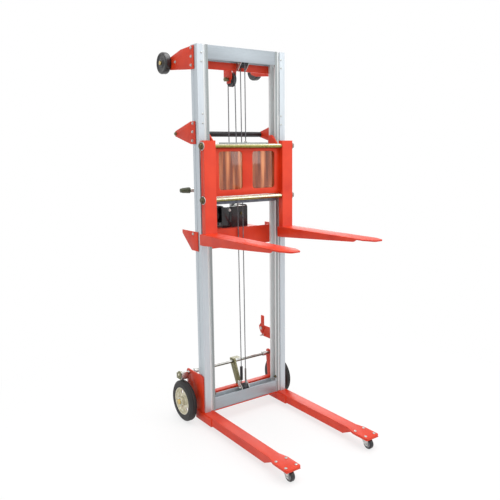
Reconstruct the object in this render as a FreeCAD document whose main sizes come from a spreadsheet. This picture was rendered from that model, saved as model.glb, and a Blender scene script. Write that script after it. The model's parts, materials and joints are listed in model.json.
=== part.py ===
import FreeCAD, Part
import math
import os
import types

import Sketcher

# A hand-winch stacker: a two-stage aluminium mast on straddle legs, with a fork carriage
# hung on a rope that a crank winch takes up. X runs across, the forks point to -Y, Z is up,
# and the floor is at zero. Lengths are in millimetres, angles in degrees.
# Depths named "depth" or "offset" are measured back from the front face of the mast.

SIZES = {
    # Running clearances and fits
    "running_gap": 0.3,
    "pin_fit": 0.05,
    # Outer mast
    "mast_width": 487.0,
    "upright_length": 1704.0,
    "upright_depth": 55.0,
    "upright_flange": 30.0,
    "upright_wall": 4.0,
    "web_groove_width": 16.0,
    "web_groove_depth": 1.2,
    # Inner mast
    "slide_pad": 3.2,
    "slide_pad_side": 4.2,
    "slide_pad_length": 45.0,
    "upper_pad_drop": 87.0,
    "lower_pad_drop": 342.0,
    "inner_wall": 3.5,
    "inner_lip_width": 12.0,
    "inner_lip_reach": 6.5,
    "rail_width": 56.5,
    "crossbar_height": 62.0,
    "crossbar_inset": 3.0,
    "crossbar_wall": 4.0,
    "sheave_notch_gap": 3.0,
    # Rope and sheaves
    "rope_diameter": 5.0,
    "sheave_pitch": 58.0,
    "mast_sheave_pitch": 36.0,
    "sheave_flange": 4.0,
    "sheave_width": 14.0,
    "sheave_hub": 11.0,
    "sheave_pin": 12.0,
    "sheave_depth": 30.0,
    "carriage_sheave_side": 18.0,
    "fixed_sheave_side": 14.0,
    "cheek_spacing": 40.0,
    "cheek_wall": 3.0,
    "fixed_cheek_spacing": 24.0,
    "fixed_sheave_drop": 133.0,
    # Base and legs
    "leg_width": 54.0,
    "leg_height": 40.0,
    "leg_wall": 3.0,
    "leg_clearance": 26.0,
    "leg_inset": 20.0,
    "leg_reach": 540.0,
    "leg_tail": 75.0,
    "leg_nose": 60.0,
    "pad_length": 113.0,
    "pad_width": 78.0,
    "pad_wall": 10.0,
    "pad_lap": 10.0,
    "pad_corner": 14.0,
    "shoe_reach": 66.0,
    "shoe_wall": 4.0,
    "base_plate_wall": 6.0,
    "base_plate_height": 182.0,
    "base_plate_depth": 166.0,
    "cross_tube_depth": 30.0,
    "cross_tube_height": 50.0,
    "cross_tube_lift": 6.0,
    "cross_tube_setback": 26.5,
    # Rear wheels
    "rear_wheel_diameter": 200.0,
    "rear_wheel_width": 38.0,
    "rear_rim_diameter": 134.0,
    "rear_wheel_standoff": 44.5,
    "rear_wheel_offset": 124.0,
    "rear_hub": 44.0,
    "rear_hub_length": 54.0,
    "rear_axle": 20.0,
    "rear_nut": 30.0,
    "rear_nut_height": 8.0,
    "rim_wall": 4.0,
    "rim_hole": 20.0,
    "rim_holes": 6,
    "rim_hole_circle": 88.0,
    # Front casters
    "caster_wheel_diameter": 48.0,
    "caster_wheel_width": 22.0,
    "caster_trail": 30.0,
    "caster_setback": 57.0,
    "caster_plate": 3.0,
    "caster_fork_wall": 3.0,
    "caster_crown": 20.0,
    "caster_pin": 8.0,
    "caster_king_pin": 10.0,
    # Loading wheels
    "loading_wheel_diameter": 100.0,
    "loading_wheel_width": 32.0,
    "loading_wheel_setback": 218.0,
    "loading_wheel_drop": 53.0,
    "loading_hub": 44.0,
    "loading_ring": 82.0,
    "loading_recess": 5.0,
    "loading_bolt": 12.0,
    "loading_bolt_head": 20.0,
    # Brackets
    "bracket_wall": 4.0,
    "cross_plate_wall": 4.0,
    "top_bracket_height": 104.0,
    "top_plate_height": 86.0,
    "top_plate_drop": 10.0,
    "handle_drop": 380.0,
    "handle_offset": 205.0,
    "handle_bar": 26.0,
    "handle_bar_wall": 2.0,
    "handle_apex": 11.0,
    "handle_bracket_height": 101.0,
    "winch_shelf_height": 940.0,
    "winch_shelf_depth": 116.0,
    "winch_shelf_width": 236.0,
    "winch_plate_height": 90.0,
    # Winch
    "winch_width": 144.0,
    "winch_wall": 4.0,
    "winch_height": 107.0,
    "winch_front": 82.0,
    "winch_rear": 224.0,
    "winch_cover_width": 112.0,
    "winch_cover_height": 100.0,
    "drum_lift": 60.0,
    "drum_core": 57.0,
    "drum_flange": 84.0,
    "drum_flange_wall": 4.0,
    "drum_axle": 14.0,
    "drum_hub": 24.0,
    "drum_left": 44.0,
    "drum_right": 44.0,
    "gear_module": 2.0,
    "gear_teeth": 48,
    "pinion_teeth": 12,
    "gear_width": 8.0,
    "winding_turns": 6,
    "winding_pitch": 6.2,
    "crank_shaft": 16.0,
    "crank_radius": 125.0,
    "crank_lean": 16.0,
    "crank_arm_width": 24.0,
    "crank_arm_wall": 6.0,
    "crank_plane": 130.0,
    "grip_diameter": 30.0,
    "grip_length": 48.0,
    "grip_pin": 10.0,
    "grip_collar": 22.0,
    "grip_standoff": 30.0,
    "ratchet_diameter": 60.0,
    "ratchet_width": 10.0,
    "ratchet_teeth": 16,
    "ratchet_tooth": 4.0,
    # Carriage
    "shank_width": 61.0,
    "shank_inset": 54.5,
    "shank_front": 51.0,
    "shank_depth": 29.0,
    "shank_wall": 5.0,
    "shank_top": 1354.0,
    "rod_diameter": 20.0,
    "rod_offset": 37.0,
    "upper_rod": 1329.5,
    "lower_rod": 1090.5,
    "rod_nut": 32.0,
    "rod_nut_height": 10.0,
    "rod_end": 4.0,
    "panel_wall": 4.0,
    "panel_bottom": 1103.0,
    "panel_top": 1320.0,
    "window_edge": 31.0,
    "window_sill": 28.0,
    "window_head": 14.0,
    "window_rib": 56.0,
    "window_corner": 15.0,
    "guard_wall": 3.0,
    "guard_margin": 5.0,
    "roller_plate_wall": 6.0,
    "roller_plate_gap": 6.0,
    "roller_plate_bottom": 1082.0,
    "roller_plate_top": 1382.0,
    "roller_plate_slope": 37.0,
    "roller_inset": 36.0,
    "roller_width": 22.0,
    "roller_pin": 12.0,
    "tie_height": 20.0,
    "tie_wall": 5.0,
    "anchor_width": 20.0,
    "anchor_height": 16.0,
    "anchor_seat": 7.0,
    "ferrule_diameter": 11.0,
    "ferrule_length": 24.0,
    # Forks
    "fork_inset": 21.5,
    "fork_width": 86.0,
    "fork_top": 937.5,
    "fork_reach": 650.0,
    "fork_wall": 6.0,
    "fork_heel": 50.0,
    "fork_nose": 16.0,
    "fork_web_reach": 560.0,
    "fork_tip_length": 52.0,
    "fork_tip_width": 46.0,
    "fork_tip_round": 14.0,
    # Parking brake
    "brake_shaft": 16.0,
    "brake_offset": 142.0,
    "brake_height": 231.0,
    "brake_shoe_width": 26.0,
    "brake_shoe_length": 34.0,
    "brake_shoe_gap": 4.0,
    "brake_post_side": 12.0,
    "brake_post_wall": 10.0,
    "pedal_side": 45.0,
    "pedal_width": 46.0,
    "pedal_reach": 46.0,
    "pedal_wall": 10.0,
    # Latch on the right upright
    "latch_height": 353.5,
    "latch_offset": 200.5,
    "latch_bolt": 10.0,
    "latch_lever_up": 72.0,
    "latch_lever_down": 29.0,
    "latch_lever_width": 26.0,
    "latch_plate_up": 17.0,
    "latch_plate_down": 44.0,
    "latch_stop": 8.0,
    "latch_stop_reach": 22.0,
}

doc = FreeCAD.newDocument("hand_pallet_stacker")
sheet = doc.addObject("Spreadsheet::Sheet", "sizes")
for row, (name, number) in enumerate(SIZES.items(), start=1):
    sheet.set(f"A{row}", name)
    sheet.set(f"B{row}", str(number))
    sheet.setAlias(f"B{row}", name)
doc.recompute()


class Size:
    """A number known by its sheet expression and by its present value."""

    def __init__(self, text, value):
        self.text = text
        self.value = value

    def __add__(self, other):
        other = as_size(other)
        return Size(f"({self.text} + {other.text})", self.value + other.value)

    def __sub__(self, other):
        other = as_size(other)
        return Size(f"({self.text} - {other.text})", self.value - other.value)

    def __mul__(self, other):
        other = as_size(other)
        return Size(f"({self.text} * {other.text})", self.value * other.value)

    def __truediv__(self, other):
        other = as_size(other)
        return Size(f"({self.text} / {other.text})", self.value / other.value)

    def __radd__(self, other):
        return as_size(other) + self

    def __rsub__(self, other):
        return as_size(other) - self

    def __rmul__(self, other):
        return as_size(other) * self

    def __neg__(self):
        return Size(f"(0 - {self.text})", -self.value)


def as_size(number):
    """A plain number as a Size, a Size as it is."""
    if isinstance(number, Size):
        return number
    return Size(f"({float(number)!r})", float(number))


d = types.SimpleNamespace(**{name: Size(f"sizes.{name}", float(SIZES[name])) for name in SIZES})
nodes = []

PLANE_ACROSS = {"X": "YZ_Plane", "Y": "XZ_Plane", "Z": "XY_Plane"}
ALONG_X = FreeCAD.Rotation(FreeCAD.Vector(0, 1, 0), 90)
ALONG_Y = FreeCAD.Rotation(FreeCAD.Vector(1, 0, 0), -90)
TURN_TO = {"X": ALONG_X, "Y": ALONG_Y, "Z": FreeCAD.Rotation()}
ARCH_UP = FreeCAD.Rotation(FreeCAD.Vector(1, 1, 1), 120)
ARCH_DOWN = FreeCAD.Rotation(FreeCAD.Vector(1, 0, 0), 180).multiply(ARCH_UP)


def bind(thing, path, size):
    """Tie one property of an object to the sheet."""
    thing.setExpression(path, as_size(size).text)


def place(thing, x, y, z):
    """Tie an object's position to the sheet."""
    for path, size in (("x", x), ("y", y), ("z", z)):
        bind(thing, f"Placement.Base.{path}", size)


def keep(thing, label):
    """Name an object as one of the finished sub-parts."""
    thing.Label = label
    nodes.append(thing)
    return thing


def new_sketch(body, axis, level):
    """A sketch across an axis, at a level along that axis."""
    sketch = body.newObject("Sketcher::SketchObject", body.Name + "_sketch")
    role = PLANE_ACROSS[axis]
    plane = next(feature for feature in body.Origin.OriginFeatures if feature.Role == role)
    sketch.AttachmentSupport = [(plane, "")]
    sketch.MapMode = "FlatFace"
    bind(sketch, "AttachmentOffset.Base.z", level)
    return sketch


def pin_point(sketch, geometry, position, corner):
    """Hold one point of the sketch at two sheet distances from its origin."""
    for kind, size in zip(("DistanceX", "DistanceY"), corner):
        size = as_size(size)
        rule = Sketcher.Constraint(kind, -1, 1, geometry, position, size.value)
        index = sketch.addConstraint(rule)
        sketch.setExpression(f"Constraints[{index}]", size.text)


def put_loop(sketch, corners):
    """A closed outline of straight edges."""
    first = sketch.GeometryCount
    count = len(corners)
    spots = [FreeCAD.Vector(as_size(x).value, as_size(y).value, 0) for x, y in corners]
    edges = [Part.LineSegment(spots[i], spots[(i + 1) % count]) for i in range(count)]
    sketch.addGeometry(edges, False)
    for i in range(count):
        follower = first + (i + 1) % count
        sketch.addConstraint(Sketcher.Constraint("Coincident", first + i, 2, follower, 1))
        pin_point(sketch, first + i, 1, corners[i])


def put_hole(sketch, x, y, radius):
    """A round hole in the outline."""
    centre = FreeCAD.Vector(as_size(x).value, as_size(y).value, 0)
    circle = Part.Circle(centre, FreeCAD.Vector(0, 0, 1), as_size(radius).value)
    geometry = sketch.addGeometry(circle, False)
    pin_point(sketch, geometry, 3, (x, y))
    rule = Sketcher.Constraint("Radius", geometry, as_size(radius).value)
    index = sketch.addConstraint(rule)
    sketch.setExpression(f"Constraints[{index}]", as_size(radius).text)


def plate(name, axis, outline, low, high, windows=(), holes=()):
    """A body padded along an axis from low to high, with windows and round holes."""
    body = doc.addObject("PartDesign::Body", name)
    sketch = new_sketch(body, axis, -as_size(high) if axis == "Y" else low)
    put_loop(sketch, outline)
    for window in windows:
        put_loop(sketch, window)
    for x, y, radius in holes:
        put_hole(sketch, x, y, radius)
    pad = body.newObject("PartDesign::Pad", name + "_pad")
    pad.Profile = sketch
    bind(pad, "Length", as_size(high) - low)
    return body


def round_corners(body, axis, corners, radius):
    """Round the edges that run along an axis through the given outline corners."""
    doc.recompute()
    base = body.Tip
    across = [i for i in range(3) if "XYZ"[i] != axis]
    spots = [[as_size(size).value for size in corner] for corner in corners]
    names = []
    for index, edge in enumerate(base.Shape.Edges, start=1):
        ends = [[vertex.Point[i] for i in across] for vertex in edge.Vertexes]
        for spot in spots:
            if len(ends) == 2 and all(math.dist(end, spot) < 0.001 for end in ends):
                names.append(f"Edge{index}")
    fillet = body.newObject("PartDesign::Fillet", body.Name + "_round")
    fillet.Base = (base, names)
    bind(fillet, "Radius", radius)
    return body


def turned(name, profile, x, y, z):
    """A body turned about an axis along X; the profile gives (place along X, radius)."""
    body = doc.addObject("PartDesign::Body", name)
    sketch = new_sketch(body, "Z", 0)
    put_loop(sketch, profile)
    turn = body.newObject("PartDesign::Revolution", name + "_turn")
    turn.Profile = sketch
    turn.ReferenceAxis = (sketch, ["H_Axis"])
    turn.Angle = 360.0
    place(body, x, y, z)
    return body


def box(name, low, high):
    """A block between two corners."""
    block = doc.addObject("Part::Box", name)
    for path, start, end in zip(("Length", "Width", "Height"), low, high):
        bind(block, path, as_size(end) - start)
    place(block, *low)
    return block


def rod(name, axis, start, length, radius):
    """A round bar from a start point along an axis."""
    bar = doc.addObject("Part::Cylinder", name)
    bind(bar, "Radius", radius)
    bind(bar, "Height", length)
    bar.Placement = FreeCAD.Placement(FreeCAD.Vector(), TURN_TO[axis])
    place(bar, *start)
    return bar


def hex_nut(name, start, length, across_corners):
    """A hexagon along X from a start point."""
    nut = doc.addObject("Part::Prism", name)
    nut.Polygon = 6
    bind(nut, "Circumradius", as_size(across_corners) / 2)
    bind(nut, "Height", length)
    nut.Placement = FreeCAD.Placement(FreeCAD.Vector(), ALONG_X)
    place(nut, *start)
    return nut


def half_ring(name, rotation, pitch, x, y, z):
    """Half a turn of rope round a sheave of the given pitch diameter."""
    ring = doc.addObject("Part::Torus", name)
    bind(ring, "Radius1", pitch / 2)
    bind(ring, "Radius2", d.rope_diameter / 2)
    ring.Angle3 = 180.0
    ring.Placement = FreeCAD.Placement(FreeCAD.Vector(), rotation)
    place(ring, x, y, z)
    return ring


def fuse(name, pieces):
    """Pieces welded into one solid."""
    joined = doc.addObject("Part::MultiFuse", name)
    joined.Shapes = pieces
    joined.Refine = True
    return joined


def cut(name, base, tool):
    """A piece with another one taken out of it."""
    rest = doc.addObject("Part::Cut", name)
    rest.Base = base
    rest.Tool = tool
    rest.Refine = True
    return rest


def group(name, pieces):
    """Separate solids that share one sub-part."""
    several = doc.addObject("Part::Compound", name)
    several.Links = pieces
    return several


def mirrored(name, source):
    """The same piece on the other side of the machine."""
    twin = doc.addObject("Part::Mirroring", name)
    twin.Source = source
    twin.Base = FreeCAD.Vector(0, 0, 0)
    twin.Normal = FreeCAD.Vector(1, 0, 0)
    return twin


def keep_pair(name, left):
    """Keep a left piece and its mirrored right one."""
    keep(left, name + "_left")
    keep(mirrored(name + "_right", left), name + "_right")


def toothed_wheel(name, teeth, root, tip, shares, phase, bore, low, high, centre):
    """A wheel with straight-sided teeth about an axis along X.

    The shares are a tooth's half widths at root and tip, in pitches; the phase shifts the teeth.
    """
    pitch_angle = 2 * math.pi / teeth
    root_share, tip_share = shares
    flank = ((root, -root_share), (tip, -tip_share), (tip, tip_share), (root, root_share))
    corners = []
    for i in range(teeth):
        middle = (i + phase) * pitch_angle
        for radius, share in flank:
            angle = middle + share * pitch_angle
            corners.append(FreeCAD.Vector(low, radius * math.cos(angle), radius * math.sin(angle)))
    face = Part.Face(Part.makePolygon(corners + corners[:1]))
    solid = face.extrude(FreeCAD.Vector(high - low, 0, 0))
    if bore:
        start = FreeCAD.Vector(low, 0, 0)
        solid = solid.cut(Part.makeCylinder(bore, high - low, start, FreeCAD.Vector(1, 0, 0)))
    wheel = doc.addObject("Part::Feature", name)
    wheel.Shape = solid
    place(wheel, *centre)
    return wheel


def spur_gear(name, teeth, phase, bore, centre):
    """One of the two meshing winch gears."""
    module = d.gear_module.value
    pitch = module * teeth / 2
    low = gear_low.value
    high = low + d.gear_width.value
    root = pitch - 1.2 * module
    tip = pitch + 0.7 * module
    return toothed_wheel(name, teeth, root, tip, (0.33, 0.11), phase, bore, low, high, centre)


# Shared places, worked out from the driving sizes
half_mast = d.mast_width / 2
leg_top = d.leg_clearance + d.leg_height
mast_top = leg_top + d.upright_length
rear_reach = d.upright_depth + d.loading_wheel_setback + d.loading_wheel_diameter / 2
mast_front = (d.fork_reach - rear_reach) / 2
mast_rear = mast_front + d.upright_depth
inner_front = mast_front + d.upright_wall + d.slide_pad + d.running_gap
inner_rear = mast_rear - d.upright_wall - d.slide_pad - d.running_gap
inner_web = half_mast - d.upright_wall - d.slide_pad_side - d.running_gap
inner_mouth = half_mast - d.rail_width
inner_bottom = leg_top + d.running_gap
crossbar_front = mast_front + d.crossbar_inset
crossbar_rear = mast_rear - d.crossbar_inset
pitch_radius = d.sheave_pitch / 2
mast_pitch_radius = d.mast_sheave_pitch / 2
rope_radius = d.rope_diameter / 2
mast_sheave_y = mast_front + d.sheave_depth
rope_down_y = mast_sheave_y + mast_pitch_radius
rope_up_y = mast_sheave_y - mast_pitch_radius
fixed_sheave_y = rope_down_y + pitch_radius
fixed_sheave_z = mast_top - d.fixed_sheave_drop
winch_rope_y = fixed_sheave_y + pitch_radius
bottom_sheave_z = inner_bottom + d.crossbar_height
top_sheave_z = mast_top - d.crossbar_height
winding_radius = d.drum_core / 2 + rope_radius
drum_y = winch_rope_y + winding_radius
drum_z = d.winch_shelf_height + d.drum_lift
gear_radius = d.gear_module * d.gear_teeth / 2
pinion_radius = d.gear_module * d.pinion_teeth / 2
crank_y = drum_y + gear_radius + pinion_radius
winch_inside = d.winch_width / 2 - d.winch_wall
gear_low = d.drum_right + d.drum_flange_wall + 2 * d.running_gap
rear_wheel_y = mast_front + d.rear_wheel_offset
rear_wheel_z = d.rear_wheel_diameter / 2
rear_wheel_side = half_mast + d.rear_wheel_standoff
base_plate_face = half_mast + d.base_plate_wall
loading_wheel_y = mast_rear + d.loading_wheel_setback
loading_wheel_z = mast_top - d.loading_wheel_drop
bracket_face = half_mast + d.bracket_wall
handle_y = mast_front + d.handle_offset
handle_z = mast_top - d.handle_drop
shank_front_y = mast_front - d.shank_front
shank_rear_y = shank_front_y + d.shank_depth
shank_inner = half_mast - d.shank_inset
shank_outer = shank_inner + d.shank_width
fork_side = half_mast - d.fork_inset
rod_y = mast_front - d.rod_offset
panel_front = rod_y + d.rod_diameter / 2
panel_rear = panel_front + d.panel_wall
roller_plate_face = inner_mouth - d.roller_plate_gap
roller_plate_back = roller_plate_face - d.roller_plate_wall
roller_diameter = inner_rear - inner_front - 2 * d.inner_wall - 2 * d.running_gap
roller_y = (inner_front + inner_rear) / 2
upper_roller_z = d.roller_plate_top - d.roller_inset
lower_roller_z = d.roller_plate_bottom + d.roller_inset
anchor_bottom = d.panel_top - d.anchor_seat
anchor_top = anchor_bottom + d.anchor_height
caster_side = half_mast - d.leg_inset
pad_front = mast_front - d.leg_reach - d.pad_length + d.pad_lap
swivel_y = pad_front + d.caster_setback
pad_bottom = leg_top - d.pad_wall
caster_crown_z = pad_bottom - d.caster_plate - d.running_gap
brake_y = mast_front + d.brake_offset
latch_y = mast_front + d.latch_offset


def corners_of(left, front, right, rear):
    """The four corners of a rectangle seen from above."""
    return [(left, front), (right, front), (right, rear), (left, rear)]


def outer_uprights():
    """C-section extrusions, open towards each other, with a groove down the outer web.

    The profile is kept as its web and two flanges, so that the channel between them stays open.
    """
    middle = (mast_front + mast_rear) / 2
    edge = -half_mast + d.upright_flange
    web = -half_mast + d.upright_wall
    groove = -half_mast + d.web_groove_depth
    web_section = [
        (-half_mast, mast_front),
        (web, mast_front),
        (web, mast_rear),
        (-half_mast, mast_rear),
        (-half_mast, middle + d.web_groove_width / 2),
        (groove, middle + d.web_groove_width / 2),
        (groove, middle - d.web_groove_width / 2),
        (-half_mast, middle - d.web_groove_width / 2),
    ]
    front = (web, mast_front, edge, mast_front + d.upright_wall)
    rear = (web, mast_rear - d.upright_wall, edge, mast_rear)
    strips = [
        plate("outer_web", "Z", web_section, leg_top, mast_top),
        plate("outer_front_flange", "Z", corners_of(*front), leg_top, mast_top),
        plate("outer_rear_flange", "Z", corners_of(*rear), leg_top, mast_top),
    ]
    keep_pair("outer_upright", group("outer_upright_left", strips))


def inner_uprights():
    """Hat-section extrusions that slide in the outer ones and carry the rollers.

    The profile is kept as its web, two walls and two lips, so that the rollers' way stays open.
    """
    lip = -inner_mouth - d.inner_lip_width
    web = -inner_web + d.inner_wall
    front_wall = inner_front + d.inner_wall
    rear_wall = inner_rear - d.inner_wall
    strips = []
    for tag, corners in (
        ("web", corners_of(-inner_web, inner_front, web, inner_rear)),
        ("front_wall", corners_of(web, inner_front, -inner_mouth, front_wall)),
        ("rear_wall", corners_of(web, rear_wall, -inner_mouth, inner_rear)),
        ("front_lip", corners_of(lip, inner_front - d.inner_lip_reach, -inner_mouth, inner_front)),
        ("rear_lip", corners_of(lip, inner_rear, -inner_mouth, inner_rear + d.inner_lip_reach)),
    ):
        strips.append(plate(f"inner_{tag}", "Z", corners, inner_bottom, mast_top))
    keep_pair("inner_upright", group("inner_upright_left", strips))


def slide_pads():
    """Plastic liners between the two stages, at two heights on each side."""
    web = -half_mast + d.upright_wall
    edge = -half_mast + d.upright_flange
    front = mast_front + d.upright_wall
    rear = mast_rear - d.upright_wall
    section = [
        (web, front),
        (edge, front),
        (edge, front + d.slide_pad),
        (web + d.slide_pad_side, front + d.slide_pad),
        (web + d.slide_pad_side, rear - d.slide_pad),
        (edge, rear - d.slide_pad),
        (edge, rear),
        (web, rear),
    ]
    pads = []
    for place_name, drop in (("upper", d.upper_pad_drop), ("lower", d.lower_pad_drop)):
        top = mast_top - drop + d.slide_pad_length
        pad = plate(f"{place_name}_pad_left", "Z", section, mast_top - drop, top)
        pads += [pad, mirrored(f"{place_name}_pad_right", pad)]
    keep(group("mast_slide_pads", pads), "mast_slide_pads")


def crossbars():
    """U-channels between the inner uprights, the rear walls notched where the sheaves turn."""
    notch = d.sheave_width / 2 + d.sheave_flange
    notch_depth = mast_pitch_radius + d.sheave_flange + d.sheave_notch_gap
    for name, bottom, side, mouth in (
        ("top_crossbar", mast_top - d.crossbar_height, d.carriage_sheave_side, -1),
        ("bottom_crossbar", inner_bottom, as_size(0), 1),
    ):
        top = bottom + d.crossbar_height
        wall = d.crossbar_wall
        floor, rim = (bottom, top) if mouth > 0 else (top, bottom)
        section = [
            (crossbar_front, floor),
            (crossbar_rear, floor),
            (crossbar_rear, rim),
            (crossbar_rear - wall, rim),
            (crossbar_rear - wall, floor + mouth * wall),
            (crossbar_front + wall, floor + mouth * wall),
            (crossbar_front + wall, rim),
            (crossbar_front, rim),
        ]
        channel = plate(name + "_channel", "X", section, -inner_mouth, inner_mouth)
        notch_low = top - notch_depth if mouth > 0 else bottom
        notch_box = box(
            name + "_notch",
            (side - notch, crossbar_rear - 2 * wall, notch_low),
            (side + notch, crossbar_rear + wall, notch_low + notch_depth),
        )
        keep(cut(name, channel, notch_box), name)


def sheave(name, pitch, spacing, x, y, z):
    """A grooved rope pulley with a hub as long as its cheeks are apart, bored for its pin."""
    groove = pitch / 2 - rope_radius - d.running_gap
    rim = pitch / 2 + d.sheave_flange
    half = d.sheave_width / 2
    hub_half = spacing / 2 - d.running_gap
    bore = d.sheave_pin / 2 + d.pin_fit
    throat = rope_radius + 2 * d.running_gap
    profile = [
        (-hub_half, bore),
        (-hub_half, d.sheave_hub),
        (-half, d.sheave_hub),
        (-half, rim),
        (-throat, rim),
        (-throat, groove),
        (throat, groove),
        (throat, rim),
        (half, rim),
        (half, d.sheave_hub),
        (hub_half, d.sheave_hub),
        (hub_half, bore),
    ]
    return keep(turned(name, profile, x, y, z), name)


def mast_sheaves():
    """Top and bottom sheaves of the inner mast, each in a bracket of two cheeks and a pin."""
    brackets = []
    half = d.cheek_spacing / 2
    for name, side, z, reach in (
        ("mast_top_sheave", d.carriage_sheave_side, top_sheave_z, 1),
        ("mast_bottom_sheave", as_size(0), bottom_sheave_z, -1),
    ):
        sheave(name, d.mast_sheave_pitch, d.cheek_spacing, side, mast_sheave_y, z)
        seat = z + reach * (d.crossbar_height - d.crossbar_wall)
        nose = z - reach * d.sheave_pin * 3
        outline = [
            (crossbar_front + d.crossbar_wall, seat),
            (crossbar_rear - d.crossbar_wall, seat),
            (crossbar_rear - d.crossbar_wall, nose),
            (crossbar_rear - d.crossbar_wall - d.sheave_pin, nose),
            (crossbar_front + d.crossbar_wall, z),
        ]
        hole = (mast_sheave_y, z, d.sheave_pin / 2)
        length = d.cheek_spacing + 2 * d.cheek_wall + d.sheave_pin
        start = (side - length / 2, mast_sheave_y, z)
        pieces = [rod(name + "_pin", "X", start, length, d.sheave_pin / 2)]
        for tag, low in (("left", side - half - d.cheek_wall), ("right", side + half)):
            cheek = f"{name}_cheek_{tag}"
            pieces.append(plate(cheek, "X", outline, low, low + d.cheek_wall, holes=[hole]))
        brackets.append(fuse(name + "_bracket", pieces))
    keep(group("sheave_cheeks", brackets), "sheave_cheeks")


def top_cross_plate():
    """Plate behind the mast head with two cheeks that hang the fixed sheave."""
    rear = mast_rear + d.cross_plate_wall
    top = mast_top - d.top_plate_drop
    pieces = [
        box(
            "top_plate",
            (-half_mast, mast_rear, top - d.top_plate_height),
            (half_mast, rear, top),
        )
    ]
    half = d.fixed_cheek_spacing / 2
    reach = fixed_sheave_y + d.sheave_pin * 1.5
    outline = [
        (rear, fixed_sheave_z + d.top_plate_height),
        (rear + d.sheave_pin, fixed_sheave_z + d.top_plate_height),
        (reach, fixed_sheave_z + d.sheave_pin),
        (reach, fixed_sheave_z - d.sheave_pin * 1.5),
        (fixed_sheave_y - d.sheave_pin, fixed_sheave_z - d.sheave_pin * 1.5),
        (rear, fixed_sheave_z + d.top_plate_height / 3),
    ]
    hole = (fixed_sheave_y, fixed_sheave_z, d.sheave_pin / 2)
    side = -d.fixed_sheave_side
    for tag, low in (("left", side - half - d.bracket_wall), ("right", side + half)):
        cheek = plate(f"fixed_cheek_{tag}", "X", outline, low, low + d.bracket_wall, holes=[hole])
        pieces.append(cheek)
    keep(fuse("top_cross_plate", pieces), "top_cross_plate")
    centre = (side, fixed_sheave_y, fixed_sheave_z)
    sheave("fixed_sheave", d.sheave_pitch, d.fixed_cheek_spacing, *centre)


def legs():
    """Leg tubes in shoes under the mast, cut away under a flat pad for the caster.

    The caster's own plate is welded below the pad.
    """
    inner = -caster_side + d.leg_width / 2
    outer = -caster_side - d.leg_width / 2
    tail = mast_front + d.leg_tail
    tip = mast_front - d.leg_reach
    side_view = [
        (tail, d.leg_clearance),
        (tail, leg_top),
        (tip, leg_top),
        (tip, pad_bottom),
        (tip + d.leg_nose, d.leg_clearance),
    ]
    tube = plate("leg_tube", "X", side_view, outer, inner)
    hollow = box(
        "leg_hollow",
        (outer + d.leg_wall, tip + d.leg_nose, d.leg_clearance + d.leg_wall),
        (inner - d.leg_wall, tail, leg_top - d.leg_wall),
    )
    pad_outline = [
        (-caster_side - d.pad_width / 2, pad_front),
        (-caster_side + d.pad_width / 2, pad_front),
        (-caster_side + d.pad_width / 2, tip - d.leg_nose / 4),
        (inner, tip + d.leg_nose / 2),
        (outer, tip + d.leg_nose / 2),
        (-caster_side - d.pad_width / 2, tip - d.leg_nose / 4),
    ]
    pad = plate("caster_pad", "Z", pad_outline, pad_bottom, leg_top)
    round_corners(pad, "Z", pad_outline[:2], d.pad_corner)
    half_plate = d.pad_width / 2 - d.caster_plate
    caster_plate = box(
        "caster_top_plate",
        (-caster_side - half_plate, pad_front + d.caster_plate, pad_bottom - d.caster_plate),
        (-caster_side + half_plate, tip - d.leg_nose / 4, pad_bottom),
    )
    king_bore = rod(
        "king_bore",
        "Z",
        (-caster_side, swivel_y, pad_bottom - d.caster_plate),
        d.caster_plate + d.pad_wall / 2,
        d.caster_king_pin / 2 + d.pin_fit,
    )
    shoe_front = mast_front - d.shoe_reach
    shoe_low = d.leg_clearance - d.shoe_wall
    shoe_sides = (outer - d.shoe_wall, inner + d.shoe_wall)
    shoe = [
        box("shoe_sole", (shoe_sides[0], shoe_front, shoe_low), (shoe_sides[1], tail, d.leg_clearance)),
    ]
    for tag, low in (("outer", shoe_sides[0]), ("inner", inner)):
        high = low + d.shoe_wall
        side = (low, shoe_front, d.leg_clearance)
        shoe.append(box(f"shoe_{tag}", side, (high, tail, leg_top - d.shoe_wall)))
    tube_open = cut("leg_open", tube, hollow)
    welded = fuse("leg_welded", [tube_open, pad, caster_plate] + shoe)
    keep_pair("leg", cut("leg_left", welded, king_bore))


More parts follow.
